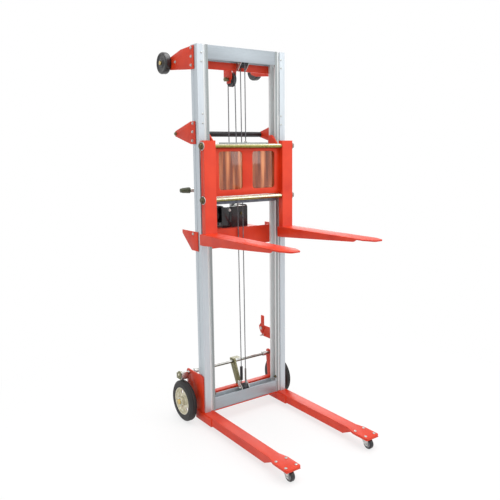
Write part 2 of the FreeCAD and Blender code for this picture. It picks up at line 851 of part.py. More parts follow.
def casters():
    """Swivel forks with their wheels, trailing to the front."""
    wheel_y = swivel_y - d.caster_trail
    wheel_z = d.caster_wheel_diameter / 2
    half = d.caster_wheel_width / 2 + 2 * d.running_gap
    wall = d.caster_fork_wall
    crown_low = caster_crown_z - wall
    crown = rod("caster_crown_disc", "Z", (-caster_side, swivel_y, crown_low), wall, d.caster_crown)
    bridge = box(
        "caster_bridge",
        (-caster_side - half - wall, wheel_y, crown_low),
        (-caster_side + half + wall, swivel_y, caster_crown_z),
    )
    king_pin = rod(
        "caster_king",
        "Z",
        (-caster_side, swivel_y, crown_low),
        wall + d.caster_plate + d.pad_wall / 2,
        d.caster_king_pin / 2,
    )
    outline = [
        (swivel_y + d.caster_crown / 2, caster_crown_z),
        (wheel_y - d.caster_pin, caster_crown_z),
        (wheel_y - d.caster_pin, wheel_z - d.caster_pin),
        (wheel_y + d.caster_pin, wheel_z - d.caster_pin),
    ]
    sides = []
    for tag, low in (("outer", -caster_side - half - wall), ("inner", -caster_side + half)):
        sides.append(plate(f"caster_side_{tag}", "X", outline, low, low + wall))
    pin_length = 2 * half + 2 * wall + d.caster_pin
    pin_start = (-caster_side - pin_length / 2, wheel_y, wheel_z)
    pin = rod("caster_wheel_pin", "X", pin_start, pin_length, d.caster_pin / 2)
    keep_pair("caster_fork", fuse("caster_fork_left", [crown, bridge, king_pin, pin] + sides))
    rim = d.caster_wheel_diameter / 2
    tread = d.caster_wheel_width / 2
    bore = d.caster_pin / 2 + d.pin_fit
    bevel = d.caster_wheel_width / 6
    profile = [
        (-tread, bore),
        (-tread, rim - bevel),
        (-tread + bevel, rim),
        (tread - bevel, rim),
        (tread, rim - bevel),
        (tread, bore),
    ]
    keep_pair("caster_wheel", turned("caster_wheel_left", profile, -caster_side, wheel_y, wheel_z))


def base():
    """Side plates that tie the uprights to the axle, and the cross tube with its brake post and tie."""
    front = mast_front + d.bracket_wall * 2
    rear = mast_front + d.base_plate_depth
    top = leg_top + d.base_plate_height
    outline = [
        (front, leg_top),
        (front, top),
        (rear, top),
        (rear, top - d.leg_height),
        (rear - d.brake_shaft, leg_top),
    ]
    axle = (rear_wheel_y, rear_wheel_z, d.rear_axle / 2)
    shaft = (brake_y, d.brake_height, d.brake_shaft / 2 + d.pin_fit)
    side = plate("base_plate_left", "X", outline, -base_plate_face, -half_mast, holes=[axle, shaft])
    keep_pair("base_plate", round_corners(side, "X", outline[1:4], d.brake_shaft))
    tube_low = leg_top + d.cross_tube_lift
    tube_front = mast_rear + d.cross_tube_setback
    tube_rear = tube_front + d.cross_tube_depth
    tube = box(
        "cross_tube",
        (-half_mast, tube_front, tube_low),
        (half_mast, tube_rear, tube_low + d.cross_tube_height),
    )
    tube_top = tube_low + d.cross_tube_height
    post_outline = [
        (tube_front, tube_top),
        (tube_rear, tube_top),
        (brake_y + d.brake_shaft, d.brake_height - d.brake_shaft),
        (brake_y + d.brake_shaft, d.brake_height + d.brake_shaft),
        (brake_y - d.brake_shaft, d.brake_height + d.brake_shaft),
        (tube_front, tube_top + d.cross_tube_height / 2),
    ]
    low = d.brake_post_side - d.brake_post_wall / 2
    high = d.brake_post_side + d.brake_post_wall / 2
    post = plate("brake_post", "X", post_outline, low, high, holes=[shaft])
    tie_side = caster_side - d.leg_width / 2
    tie_outline = [
        (mast_front, leg_top - d.leg_wall),
        (tube_rear, leg_top - d.leg_wall),
        (tube_rear, tube_low),
        (tube_front, tube_low),
        (tube_front, leg_top),
        (mast_front, leg_top),
    ]
    tie = plate("base_tie", "X", tie_outline, -tie_side, tie_side)
    keep(fuse("base_cross_tube", [tube, post, tie]), "base_cross_tube")


def rear_wheels():
    """Tyres on pressed rims with round holes."""
    tread = d.rear_wheel_width / 2
    rim = d.rear_rim_diameter / 2
    tyre_radius = d.rear_wheel_diameter / 2
    centre = (-rear_wheel_side, rear_wheel_y, rear_wheel_z)
    bevel = d.rear_wheel_width / 4
    tyre_profile = [
        (-tread, rim),
        (-tread, tyre_radius - bevel),
        (-tread + bevel, tyre_radius),
        (tread - bevel, tyre_radius),
        (tread, tyre_radius - bevel),
        (tread, rim),
    ]
    keep_pair("rear_tyre", turned("rear_tyre_left", tyre_profile, *centre))
    hub = d.rear_hub / 2
    hub_half = d.rear_hub_length / 2
    web = d.rim_wall / 2
    bore = d.rear_axle / 2 + d.pin_fit
    lip = tread - d.rim_wall
    profile = [
        (-hub_half, bore),
        (-hub_half, hub),
        (-web, hub),
        (-web, rim - d.rim_wall),
        (-lip, rim - d.rim_wall),
        (-lip, rim),
        (lip, rim),
        (lip, rim - d.rim_wall),
        (web, rim - d.rim_wall),
        (web, hub),
        (hub_half, hub),
        (hub_half, bore),
    ]
    disc = turned("rear_rim_disc", profile, *centre)
    holes = []
    hole_count = int(d.rim_holes.value)
    for i in range(hole_count):
        angle = 2 * math.pi * i / hole_count
        start = (
            -rear_wheel_side - d.rim_wall,
            rear_wheel_y + d.rim_hole_circle / 2 * math.cos(angle),
            rear_wheel_z + d.rim_hole_circle / 2 * math.sin(angle),
        )
        holes.append(rod(f"rim_hole_{i}", "X", start, 2 * d.rim_wall, d.rim_hole / 2))
    keep_pair("rear_rim", cut("rear_rim_left", disc, group("rim_holes", holes)))


def loading_wheels():
    """Solid wheels on the top brackets, on which the folded machine rolls into a van."""
    tread = d.loading_wheel_width / 2
    rim = d.loading_wheel_diameter / 2
    bore = d.loading_bolt / 2 + d.pin_fit
    side = bracket_face + d.running_gap + tread
    hub = d.loading_hub / 2
    recess = -tread + d.loading_recess
    ring = d.loading_ring / 2
    bevel = d.loading_wheel_width / 4
    profile = [
        (-tread, bore),
        (-tread, hub),
        (recess, hub),
        (recess, ring),
        (-tread, ring),
        (-tread, rim - bevel),
        (-tread + bevel, rim),
        (tread - bevel, rim),
        (tread, rim - bevel),
        (tread, bore),
    ]
    wheel = turned("loading_wheel_left", profile, -side, loading_wheel_y, loading_wheel_z)
    keep_pair("loading_wheel", wheel)


def axle_bolts():
    """Rear axle, loading wheel bolts, fixed sheave pin and drum bolt."""
    hub_end = rear_wheel_side + d.rear_hub_length / 2 + d.running_gap
    axle_start = (-hub_end, rear_wheel_y, rear_wheel_z)
    pieces = [rod("rear_axle_bar", "X", axle_start, 2 * hub_end, d.rear_axle / 2)]
    nut_start = (hub_end, rear_wheel_y, rear_wheel_z)
    nut = hex_nut("rear_axle_nut", nut_start, d.rear_nut_height, d.rear_nut)
    pieces += [nut, mirrored("rear_axle_nut_left", nut)]
    rear_axle = fuse("rear_axle_whole", pieces)
    bolt_start = (half_mast, loading_wheel_y, loading_wheel_z)
    bolt_length = d.bracket_wall + d.loading_wheel_width + 2 * d.running_gap
    bolt = rod("loading_bolt_shank", "X", bolt_start, bolt_length, d.loading_bolt / 2)
    head_start = (half_mast + bolt_length, loading_wheel_y, loading_wheel_z)
    head = hex_nut("loading_bolt_hex", head_start, d.loading_bolt / 2, d.loading_bolt_head)
    loading_bolt = fuse("loading_bolt_right", [bolt, head])
    pin_length = d.fixed_cheek_spacing + 2 * d.bracket_wall + d.sheave_pin
    pin_start = (-d.fixed_sheave_side - pin_length / 2, fixed_sheave_y, fixed_sheave_z)
    sheave_pin = rod("fixed_sheave_pin", "X", pin_start, pin_length, d.sheave_pin / 2)
    drum_start = (-d.winch_width / 2 - d.winch_wall, drum_y, drum_z)
    drum_bolt_length = d.winch_width + 2 * d.winch_wall
    drum_bolt = rod("drum_bolt", "X", drum_start, drum_bolt_length, d.drum_axle / 2)
    bolts = [rear_axle, loading_bolt, mirrored("loading_bolt_left", loading_bolt), sheave_pin, drum_bolt]
    keep(group("axle_bolts", bolts), "axle_bolts")


def top_brackets():
    """Plates on the mast head that carry the loading wheels."""
    nose = d.loading_wheel_diameter / 6
    outline = [
        (mast_front + d.upright_flange - d.bracket_wall, mast_top - d.bracket_wall),
        ((mast_front + loading_wheel_y) / 2, mast_top - 2 * d.bracket_wall),
        (loading_wheel_y, loading_wheel_z + nose),
        (loading_wheel_y + nose, loading_wheel_z - nose),
        (loading_wheel_y - 2 * nose, loading_wheel_z - 2 * nose),
        (mast_rear, mast_top - d.top_bracket_height),
        (mast_front + d.upright_flange - d.bracket_wall, mast_top - d.top_bracket_height),
    ]
    bolt = (loading_wheel_y, loading_wheel_z, d.loading_bolt / 2)
    side = plate("top_bracket_left", "X", outline, -bracket_face, -half_mast, holes=[bolt])
    keep_pair("top_bracket", round_corners(side, "X", outline[1:5], nose * 0.8))


def push_handle():
    """Bar between two triangular brackets behind the mast."""
    base_front = mast_front + d.upright_depth / 2
    half = d.handle_bracket_height / 2
    shoulder = mast_rear + d.bracket_wall * 3
    outline = [
        (base_front, handle_z + half),
        (shoulder, handle_z + half),
        (handle_y + d.handle_apex, handle_z + d.handle_apex),
        (handle_y + d.handle_apex, handle_z - d.handle_apex),
        (shoulder, handle_z - half),
        (base_front, handle_z - half),
    ]
    side = plate("handle_bracket_left", "X", outline, -bracket_face, -half_mast)
    rounded = round_corners(side, "X", outline[2:4], d.handle_apex * 0.8)
    keep_pair("handle_bracket", rounded)
    start = (-half_mast, handle_y, handle_z)
    bar = rod("handle_tube", "X", start, d.mast_width, d.handle_bar / 2)
    bore = rod("handle_bore", "X", start, d.mast_width, d.handle_bar / 2 - d.handle_bar_wall)
    keep(cut("push_handle", bar, bore), "push_handle")


def winch_brackets():
    """Gussets on the uprights and the cross plate whose shelf carries the winch."""
    base_front = mast_front + d.upright_depth / 2
    top = d.winch_shelf_height
    bottom = top - d.winch_plate_height
    outline = [
        (base_front, top),
        (mast_rear + d.winch_shelf_depth, top),
        (mast_rear + d.winch_shelf_depth, top - d.bracket_wall * 4),
        (mast_rear + d.winch_shelf_depth / 4, bottom),
        (base_front, bottom),
    ]
    side = plate("winch_bracket_left", "X", outline, -bracket_face, -half_mast)
    keep_pair("winch_bracket", side)
    rear = mast_rear + d.cross_plate_wall
    half_shelf = d.winch_shelf_width / 2
    pieces = [
        box("winch_plate", (-half_mast, mast_rear, bottom), (half_mast, rear, top)),
        box(
            "winch_shelf",
            (-half_shelf, mast_rear, top - d.cross_plate_wall),
            (half_shelf, mast_rear + d.winch_shelf_depth, top),
        ),
    ]
    gusset = [
        (rear, top - d.cross_plate_wall),
        (mast_rear + d.winch_shelf_depth * 0.9, top - d.cross_plate_wall),
        (rear, bottom + d.cross_plate_wall),
    ]
    for tag, low in (("left", -half_shelf), ("right", half_shelf - d.bracket_wall)):
        pieces.append(plate(f"shelf_gusset_{tag}", "X", gusset, low, low + d.bracket_wall))
    keep(fuse("winch_cross_plate", pieces), "winch_cross_plate")


def winch_frame():
    """Two side plates on a base, bored for the drum bolt and the crank shaft, and a front cover."""
    half = d.winch_width / 2
    low = d.winch_shelf_height
    front = mast_front + d.winch_front
    rear = mast_front + d.winch_rear
    shelf_rear = mast_rear + d.winch_shelf_depth
    outline = [
        (front, low),
        (front, low + d.winch_height),
        (rear, low + d.winch_height),
        (rear, drum_z - d.crank_shaft),
        (shelf_rear, low),
    ]
    holes = [
        (drum_y, drum_z, d.drum_axle / 2),
        (crank_y, drum_z, d.crank_shaft / 2 + d.pin_fit),
    ]
    pieces = [
        box("winch_base", (-half, front, low), (half, shelf_rear, low + d.winch_wall)),
    ]
    for tag, start in (("left", -half), ("right", half - d.winch_wall)):
        side = plate(f"winch_side_{tag}", "X", outline, start, start + d.winch_wall, holes=holes)
        pieces.append(round_corners(side, "X", outline[1:4], d.crank_shaft))
    pawl_start = (-half - d.ratchet_width, *pawl_pivot())
    pieces.append(rod("pawl_pin", "X", pawl_start, d.ratchet_width + d.winch_wall, d.winch_wall))
    cage = fuse("winch_cage", pieces)
    cover_right = half - d.winch_wall
    cover = box(
        "winch_cover",
        (cover_right - d.winch_cover_width, front, low + d.winch_wall),
        (cover_right, front + d.winch_wall, low + d.winch_cover_height),
    )
    keep(group("winch_frame", [cage, cover]), "winch_frame")


def pawl_pivot():
    """Where the pawl turns, ahead of and above the ratchet."""
    reach = d.ratchet_diameter / 2
    return crank_y - reach, drum_z + reach


def pawl():
    """Short lever that drops on the ratchet's tooth tips."""
    y, z = pawl_pivot()
    low = -d.winch_width / 2 - d.ratchet_width + 2 * d.running_gap
    high = -d.winch_width / 2 - 2 * d.running_gap
    arm = d.ratchet_diameter / 8
    outline = [
        (y - arm, z - arm),
        (y + arm * 0.6, z - arm * 1.4),
        (y + arm * 1.9, z - arm * 0.3),
        (y + arm, z + arm),
        (y - arm, z + arm),
    ]
    hole = (y, z, d.winch_wall + d.pin_fit)
    keep(plate("brake_pawl", "X", outline, low, high, holes=[hole]), "brake_pawl")


def winch_drum():
    """Rope drum with two flanges and long hubs, and the gear on its right hub."""
    bore = d.drum_axle / 2 + d.pin_fit
    hub = d.drum_hub / 2
    flange = d.drum_flange / 2
    core = d.drum_core / 2 - d.running_gap
    wall = d.drum_flange_wall
    end = winch_inside - d.running_gap
    profile = [
        (-end, bore),
        (-end, hub),
        (-d.drum_left - wall, hub),
        (-d.drum_left - wall, flange),
        (-d.drum_left, flange),
        (-d.drum_left, core),
        (d.drum_right, core),
        (d.drum_right, flange),
        (d.drum_right + wall, flange),
        (d.drum_right + wall, hub),
        (end, hub),
        (end, bore),
    ]
    keep(turned("winch_drum", profile, as_size(0), drum_y, drum_z), "winch_drum")
    gear_centre = (0, drum_y, drum_z)
    gear = spur_gear("drum_gear", int(d.gear_teeth.value), 0, hub.value, gear_centre)
    keep(gear, "drum_gear")


def crank():
    """Crank shaft with its pinion, arm and grip pin in one piece, the ratchet disc and the grip."""
    half = d.winch_width / 2
    face = -d.crank_plane - d.crank_arm_wall
    end = half + d.winch_wall
    shaft = rod("crank_bar", "X", (face, crank_y, drum_z), end - face, d.crank_shaft / 2)
    crank_centre = (0, crank_y, drum_z)
    pinion = spur_gear("pinion", int(d.pinion_teeth.value), 0.5, 0, crank_centre)
    arm_half = d.crank_arm_width / 2
    wall = d.crank_arm_wall
    bar = box("arm_bar", (face, -arm_half, 0), (face + wall, arm_half, d.crank_radius))
    boss = rod("arm_boss", "X", (face, 0, 0), wall, arm_half)
    eye = rod("arm_eye", "X", (face, 0, d.crank_radius), wall, arm_half)
    grip_start = face - d.grip_standoff - d.running_gap
    grip_end = grip_start - d.grip_length - d.running_gap
    pin = rod("grip_pin_bar", "X", (grip_end, 0, d.crank_radius), face - grip_end, d.grip_pin / 2)
    collar_start = (face - d.grip_standoff, 0, d.crank_radius)
    collar = rod("grip_collar_bar", "X", collar_start, d.grip_standoff, d.grip_collar / 2)
    head = rod("grip_pin_head", "X", (grip_end - wall / 2, 0, d.crank_radius), wall / 2, d.grip_pin)
    arm = fuse("crank_arm", [bar, boss, eye, pin, collar, head])
    lean = FreeCAD.Rotation(FreeCAD.Vector(1, 0, 0), -d.crank_lean.value)
    arm.Placement = FreeCAD.Placement(FreeCAD.Vector(), lean)
    place(arm, as_size(0), crank_y, drum_z)
    keep(fuse("crank", [shaft, pinion, arm]), "crank")
    tip = d.ratchet_diameter.value / 2
    high = -half.value - 2 * d.running_gap.value
    low = high - d.ratchet_width.value
    teeth = int(d.ratchet_teeth.value)
    bore = d.crank_shaft.value / 2
    root = tip - d.ratchet_tooth.value
    shares = (0.45, 0.1)
    ratchet = toothed_wheel("ratchet_disc", teeth, root, tip, shares, 0, bore, low, high, crank_centre)
    keep(ratchet, "ratchet_disc")
    radius = d.grip_diameter / 2
    bore = d.grip_pin / 2 + d.pin_fit
    profile = [
        (grip_start - d.grip_length, bore),
        (grip_start - d.grip_length, radius * 0.8),
        (grip_start - d.grip_length * 0.9, radius),
        (grip_start - d.grip_length * 0.1, radius),
        (grip_start, radius * 0.8),
        (grip_start, bore),
    ]
    lean_angle = math.radians(d.crank_lean.value)
    grip_y = crank_y + d.crank_radius * math.sin(lean_angle)
    grip_z = drum_z + d.crank_radius * math.cos(lean_angle)
    keep(turned("crank_grip", profile, as_size(0), grip_y, grip_z), "crank_grip")


def arc_between(start, heading, end):
    """The arc that leaves a point along a heading and ends at another point."""
    chord = end - start
    along = FreeCAD.Vector(chord).normalize()
    lean = heading - along * heading.dot(along)
    half_angle = math.asin(min(1.0, lean.Length))
    middle = start + chord * 0.5 + lean.normalize() * (chord.Length / 2 * math.tan(half_angle / 2))
    return Part.Arc(start, middle, end)


def biarc(start, start_heading, end, end_heading):
    """Two arcs that join two points with given headings smoothly."""
    gap = end - start
    both = start_heading + end_heading
    turn = 2 * (1 - start_heading.dot(end_heading))
    reach = gap.dot(both)
    step = (-reach + math.sqrt(reach * reach + turn * gap.dot(gap))) / turn
    middle = (start + end + (start_heading - end_heading) * step) * 0.5
    first = arc_between(start, start_heading, middle)
    second = arc_between(end, end_heading * -1, middle)
    return [first.toShape(), second.toShape()]


def rope_winding():
    """One layer of rope on the drum, which leaves it straight upwards at the front."""
    turns = int(d.winding_turns.value)
    pitch = d.winding_pitch.value
    radius = winding_radius.value
    tail = d.rope_diameter.value
    slope = pitch / (2 * math.pi)
    up = FreeCAD.Vector(0, 0, 1)

    def spot(angle):
        x = turns * pitch - slope * angle - d.fixed_sheave_side.value
        y = drum_y.value - radius * math.cos(angle)
        z = drum_z.value + radius * math.sin(angle)
        return FreeCAD.Vector(x, y, z)

    def heading(angle):
        way = FreeCAD.Vector(-slope, radius * math.sin(angle), radius * math.cos(angle))
        return way.normalize()

    quarter = math.pi / 2
    edges = []
    start = spot(0) - heading(0) * tail
    edges.append(Part.LineSegment(start, spot(0)).toShape())
    for i in range(4 * turns):
        near = i * quarter
        far = near + quarter
        way_out = up if i == 4 * turns - 1 else heading(far)
        edges += biarc(spot(near), heading(near), spot(far), way_out)
    end = spot(2 * math.pi * turns)
    edges.append(Part.LineSegment(end, end + up * tail).toShape())
    path = Part.Wire(Part.sortEdges(edges)[0])
    tube = Part.BRepOffsetAPI.MakePipeShell(path)
    tube.add(Part.Wire([Part.makeCircle(rope_radius.value, start, heading(0))]))
    tube.build()
    tube.makeSolid()
    winding = doc.addObject("Part::Feature", "rope_winding")
    winding.Shape = tube.shape()
    points = [spot(i * quarter / 6) for i in range(24 * turns + 1)]
    least = min(
        points[i].distanceToPoint(points[j])
        for i in range(len(points))
        for j in range(i + 18, len(points))
    )
    print(f"rope winding: least gap between turns {least - d.rope_diameter.value:.2f} mm")
    return winding


def strand(name, low, high):
    """A taut stretch of rope from a low place to a high one."""
    rings = []
    for tag, spot in (("low", low), ("high", high)):
        ring = doc.addObject("Part::Circle", f"{name}_{tag}")
        bind(ring, "Radius", rope_radius)
        place(ring, *spot)
        rings.append(ring)
    loft = doc.addObject("Part::Loft", name)
    loft.Sections = rings
    loft.Solid = True
    loft.Ruled = True
    return loft


def rope_runs():
    """The rope from the drum over the fixed sheave, under the inner mast, over it and down."""
    fixed_side = -d.fixed_sheave_side
    carriage_side = d.carriage_sheave_side
    middle = as_size(0)
    winch_start = (fixed_side, winch_rope_y, drum_z + d.rope_diameter)
    up_run = strand("winch_strand", winch_start, (fixed_side, winch_rope_y, fixed_sheave_z))
    fixed_centre = (fixed_side, fixed_sheave_y, fixed_sheave_z)
    over = half_ring("fixed_sheave_turn", ARCH_UP, d.sheave_pitch, *fixed_centre)
    keep(fuse("rope_winch_run", [rope_winding(), up_run, over]), "rope_winch_run")
    mast_low = (middle, rope_down_y, bottom_sheave_z)
    down = strand("rope_mast_run", mast_low, (fixed_side, rope_down_y, fixed_sheave_z))
    keep(down, "rope_mast_run")
    bottom_centre = (middle, mast_sheave_y, bottom_sheave_z)
    under = half_ring("bottom_sheave_turn", ARCH_DOWN, d.mast_sheave_pitch, *bottom_centre)
    top_centre = (carriage_side, mast_sheave_y, top_sheave_z)
    above = half_ring("top_sheave_turn", ARCH_UP, d.mast_sheave_pitch, *top_centre)
    slant_low = (middle, rope_up_y, bottom_sheave_z)
    slant = strand("slant_strand", slant_low, (carriage_side, rope_down_y, top_sheave_z))
    keep(fuse("rope_inner_run", [under, slant, above]), "rope_inner_run")
    drop_low = (carriage_side, rope_up_y, anchor_top + d.ferrule_length)
    drop = strand("rope_carriage_run", drop_low, (carriage_side, rope_up_y, top_sheave_z))
    keep(drop, "rope_carriage_run")


def forks():
    """Fork blades folded from plate, welded under channel shanks."""
    rod_holes = []
    for tag, z in (("upper", d.upper_rod), ("lower", d.lower_rod)):
        start = (-shank_outer, rod_y, z)
        rod_holes.append(rod(f"shank_hole_{tag}", "X", start, d.shank_width, d.rod_diameter / 2))
    wall = d.shank_wall
    section = [
        (-shank_outer, shank_front_y),
        (-shank_inner, shank_front_y),
        (-shank_inner, shank_rear_y),
        (-shank_inner - wall, shank_rear_y),
        (-shank_inner - wall, shank_front_y + wall),
        (-shank_outer + wall, shank_front_y + wall),
        (-shank_outer + wall, shank_rear_y),
        (-shank_outer, shank_rear_y),
    ]
    channel = plate("shank_channel", "Z", section, d.fork_top, d.shank_top)
    shank = cut("fork_shank", channel, group("shank_holes", rod_holes))
    centre = -fork_side
    outer = centre - d.fork_width / 2
    inner = centre + d.fork_width / 2
    tip = mast_front - d.fork_reach
    shoulder = tip + d.fork_tip_length
    tip_corners = [(centre - d.fork_tip_width / 2, tip), (centre + d.fork_tip_width / 2, tip)]
    top_view = [
        (outer, shank_rear_y),
        (outer, shoulder),
        tip_corners[0],
        tip_corners[1],
        (inner, shoulder),
        (inner, shank_rear_y),
    ]
    blade = plate("fork_deck", "Z", top_view, d.fork_top - d.fork_wall, d.fork_top)
    round_corners(blade, "Z", tip_corners, d.fork_tip_round)
    web_end = mast_front - d.fork_web_reach
    side_view = [
        (shank_rear_y, d.fork_top),
        (shank_rear_y, d.fork_top - d.fork_heel),
        (shank_front_y, d.fork_top - d.fork_heel),
        (web_end + d.fork_nose, d.fork_top - d.fork_nose),
        (web_end, d.fork_top - d.fork_wall),
        (web_end, d.fork_top),
    ]
    pieces = [shank, blade]
    for tag, low in (("outer", outer), ("inner", inner - d.fork_wall)):
        pieces.append(plate(f"fork_web_{tag}", "X", side_view, low, low + d.fork_wall))
    heel_low = (outer, shank_rear_y - d.fork_wall, d.fork_top - d.fork_heel)
    pieces.append(box("fork_heel_plate", heel_low, (inner, shank_rear_y, d.fork_top)))
    keep_pair("fork", fuse("fork_left", pieces))


def carriage_rods():
    """Two cross rods through the shanks, with nuts outside."""
    whole = []
    length = 2 * (shank_outer + d.rod_nut_height + d.rod_end)
    for tag, z in (("upper", d.upper_rod), ("lower", d.lower_rod)):
        bar = rod(f"{tag}_rod_bar", "X", (-length / 2, rod_y, z), length, d.rod_diameter / 2)
        nut = hex_nut(f"{tag}_rod_nut", (shank_outer, rod_y, z), d.rod_nut_height, d.rod_nut)
        twin = mirrored(f"{tag}_rod_nut_left", nut)
        whole.append(fuse(f"{tag}_rod", [bar, nut, twin]))
    keep(group("carriage_rods", whole), "carriage_rods")


def carriage_panel():
    """Panel with two windows behind the rods, and the rope's anchor on its upper edge."""
    outline = [
        (-shank_inner, d.panel_bottom),
        (shank_inner, d.panel_bottom),
        (shank_inner, d.panel_top),
        (-shank_inner, d.panel_top),
    ]
    window_bottom = d.panel_bottom + d.window_sill
    window_top = d.panel_top - d.window_head
    near = d.window_rib / 2
    far = shank_inner - d.window_edge
    windows = []
    for low, high in ((-far, -near), (near, far)):
        windows.append([
            (low, window_bottom),
            (high, window_bottom),
            (high, window_top),
            (low, window_top),
        ])
    panel = plate("window_panel", "Y", outline, panel_front, panel_rear, windows=windows)
    round_corners(panel, "Y", windows[0] + windows[1], d.window_corner)
    side = d.carriage_sheave_side
    tab = box(
        "anchor_tab",
        (side - d.anchor_width / 2, panel_rear, anchor_bottom),
        (side + d.anchor_width / 2, rope_up_y + d.ferrule_diameter / 2, anchor_top),
    )
    ferrule = rod("ferrule", "Z", (side, rope_up_y, anchor_top), d.ferrule_length, d.ferrule_diameter / 2)
    keep(fuse("carriage_panel", [panel, tab, ferrule]), "carriage_panel")
    guard = box(
        "guard_sheet",
        (-far - d.guard_margin, panel_rear, window_bottom - d.guard_margin),
        (far + d.guard_margin, panel_rear + d.guard_wall, window_top + d.guard_margin),
    )
    keep(guard, "guard_sheet")


def roller_plates():
    """Plates behind the panel with roller pins, tied by a strip, and the rollers on them."""
    back = roller_y + d.roller_pin * 1.5
    outline = [
        (panel_rear, d.roller_plate_bottom),
        (back, d.roller_plate_bottom),
        (back, d.roller_plate_top),
        (roller_y - d.roller_pin, d.roller_plate_top),
        (panel_rear, d.roller_plate_top - d.roller_plate_slope),
    ]
    side = plate("roller_side", "X", outline, -roller_plate_face, -roller_plate_back)
    round_corners(side, "X", outline[1:3], d.roller_pin)
    roller_out = inner_web - d.inner_wall - 4 * d.running_gap
    roller_in = roller_out - d.roller_width
    pins = []
    for tag, z in (("upper", upper_roller_z), ("lower", lower_roller_z)):
        start = (-roller_out, roller_y, z)
        length = roller_out - roller_plate_back
        pins.append(rod(f"{tag}_roller_pin", "X", start, length, d.roller_pin / 2))
        shoulder_start = (-roller_in + d.running_gap, roller_y, z)
        shoulder_length = roller_in - roller_plate_face - d.running_gap
        pins.append(rod(f"{tag}_shoulder", "X", shoulder_start, shoulder_length, d.roller_pin * 0.75))
    keep_pair("roller_plate", fuse("roller_plate_left", [side] + pins))
    tie = box(
        "roller_tie",
        (-roller_plate_back, panel_rear, d.roller_plate_bottom),
        (roller_plate_back, panel_rear + d.tie_wall, d.roller_plate_bottom + d.tie_height),
    )
    keep(tie, "roller_tie")
    bore = d.roller_pin / 2 + d.pin_fit
    rim = roller_diameter / 2
    profile = [(-roller_out, bore), (-roller_out, rim), (-roller_in, rim), (-roller_in, bore)]
    for tag, z in (("upper", upper_roller_z), ("lower", lower_roller_z)):
        roller = turned(f"{tag}_roller", profile, as_size(0), roller_y, z)
        pair = [roller, mirrored(f"{tag}_roller_right", roller)]
        keep(group(f"{tag}_rollers", pair), f"{tag}_rollers")


def brake():
    """Cross shaft with a shoe over each tyre and a pedal to the rear."""
    end = rear_wheel_side + d.brake_shoe_width / 2
    pieces = [rod("brake_bar", "X", (-end, brake_y, d.brake_height), 2 * end, d.brake_shaft / 2)]
    shoe_low = d.rear_wheel_diameter + d.brake_shoe_gap
    shoe = box(
        "brake_shoe",
        (rear_wheel_side - d.brake_shoe_width / 2, brake_y - d.brake_shaft / 2, shoe_low),
        (end, brake_y + d.brake_shoe_length, d.brake_height),
    )
    pieces += [shoe, mirrored("brake_shoe_left", shoe)]
    half = d.pedal_width / 2
    reach = brake_y + d.pedal_reach
    arm = box(
        "pedal_arm",
        (d.pedal_side - half, brake_y, d.brake_height - d.pedal_wall / 2),
        (d.pedal_side + half, reach, d.brake_height + d.pedal_wall / 2),
    )
    toe = box(
        "pedal_toe",
        (d.pedal_side - half, reach - d.pedal_wall, d.brake_height - d.pedal_width / 2),
        (d.pedal_side + half, reach, d.brake_height),
    )
    keep(fuse("brake_shaft", pieces + [arm, toe]), "brake_shaft")


def latch():
    """Hold-down lever on the inner face of a plate behind the right upright, with its stop pin."""
    half = d.latch_lever_width / 2
    base_front = mast_front + d.upright_depth / 2
    plate_low = d.latch_height - d.latch_plate_down
    plate_high = d.latch_height + d.latch_plate_up
    outline = [
        (base_front, plate_low),
        (latch_y, plate_low),
        (latch_y + half, d.latch_height - half),
        (latch_y + half, plate_high),
        (base_front, plate_high),
    ]
    plate_body = plate("latch_plate", "X", outline, half_mast, bracket_face)
    round_corners(plate_body, "X", outline[1:4], half * 0.6)
    lever_high = half_mast - d.running_gap
    lever_low = lever_high - d.bracket_wall
    head_length = d.latch_bolt / 2
    head_start = lever_low - d.running_gap - head_length
    head = hex_nut("latch_bolt_hex", (head_start, latch_y, d.latch_height), head_length, d.latch_bolt * 1.8)
    bolt_length = bracket_face - head_start
    bolt = rod("latch_bolt_shank", "X", (head_start, latch_y, d.latch_height), bolt_length, d.latch_bolt / 2)
    stop_start = (half_mast - d.latch_stop_reach, latch_y - half, plate_low + d.latch_stop)
    stop_length = d.latch_stop_reach + d.bracket_wall
    stop = rod("latch_stop_pin", "X", stop_start, stop_length, d.latch_stop / 2)
    keep(fuse("latch_bracket", [plate_body, bolt, head, stop]), "latch_bracket")
    lever_foot = d.latch_height - d.latch_lever_down
    lever_top = d.latch_height + d.latch_lever_up
    lever_outline = [
        (latch_y - half * 0.3, lever_foot),
        (latch_y + half * 0.5, lever_foot),
        (latch_y + half * 1.5, d.latch_height - half * 0.6),
        (latch_y + half * 1.8, d.latch_height + half * 0.6),
        (latch_y + half * 0.4, d.latch_height + half * 2.2),
        (latch_y + half * 0.4, lever_top),
        (latch_y - half * 1.6, lever_top),
        (latch_y - half * 1.6, d.latch_height),
    ]
    hole = (latch_y, d.latch_height, d.latch_bolt / 2 + d.pin_fit)
    lever = plate("latch_lever", "X", lever_outline, lever_low, lever_high, holes=[hole])
    keep(round_corners(lever, "X", lever_outline[5:7], half * 0.4), "latch_lever")


def check_and_export():
    """Stop if any object failed, then write each sub-part to its own file."""
    doc.recompute()
    for thing in doc.Objects:
        if "Invalid" in thing.State or "Error" in thing.State:
            raise RuntimeError(f"{thing.Label} failed: {thing.State}")
    for thing in nodes:
        if thing.Shape.isNull() or not thing.Shape.isValid():
            raise RuntimeError(f"{thing.Label} has no valid shape")
    os.makedirs("parts", exist_ok=True)
    for thing in nodes:
        thing.Shape.exportStep(os.path.join("parts", thing.Label + ".step"))
    print(f"{len(nodes)} sub-parts written")


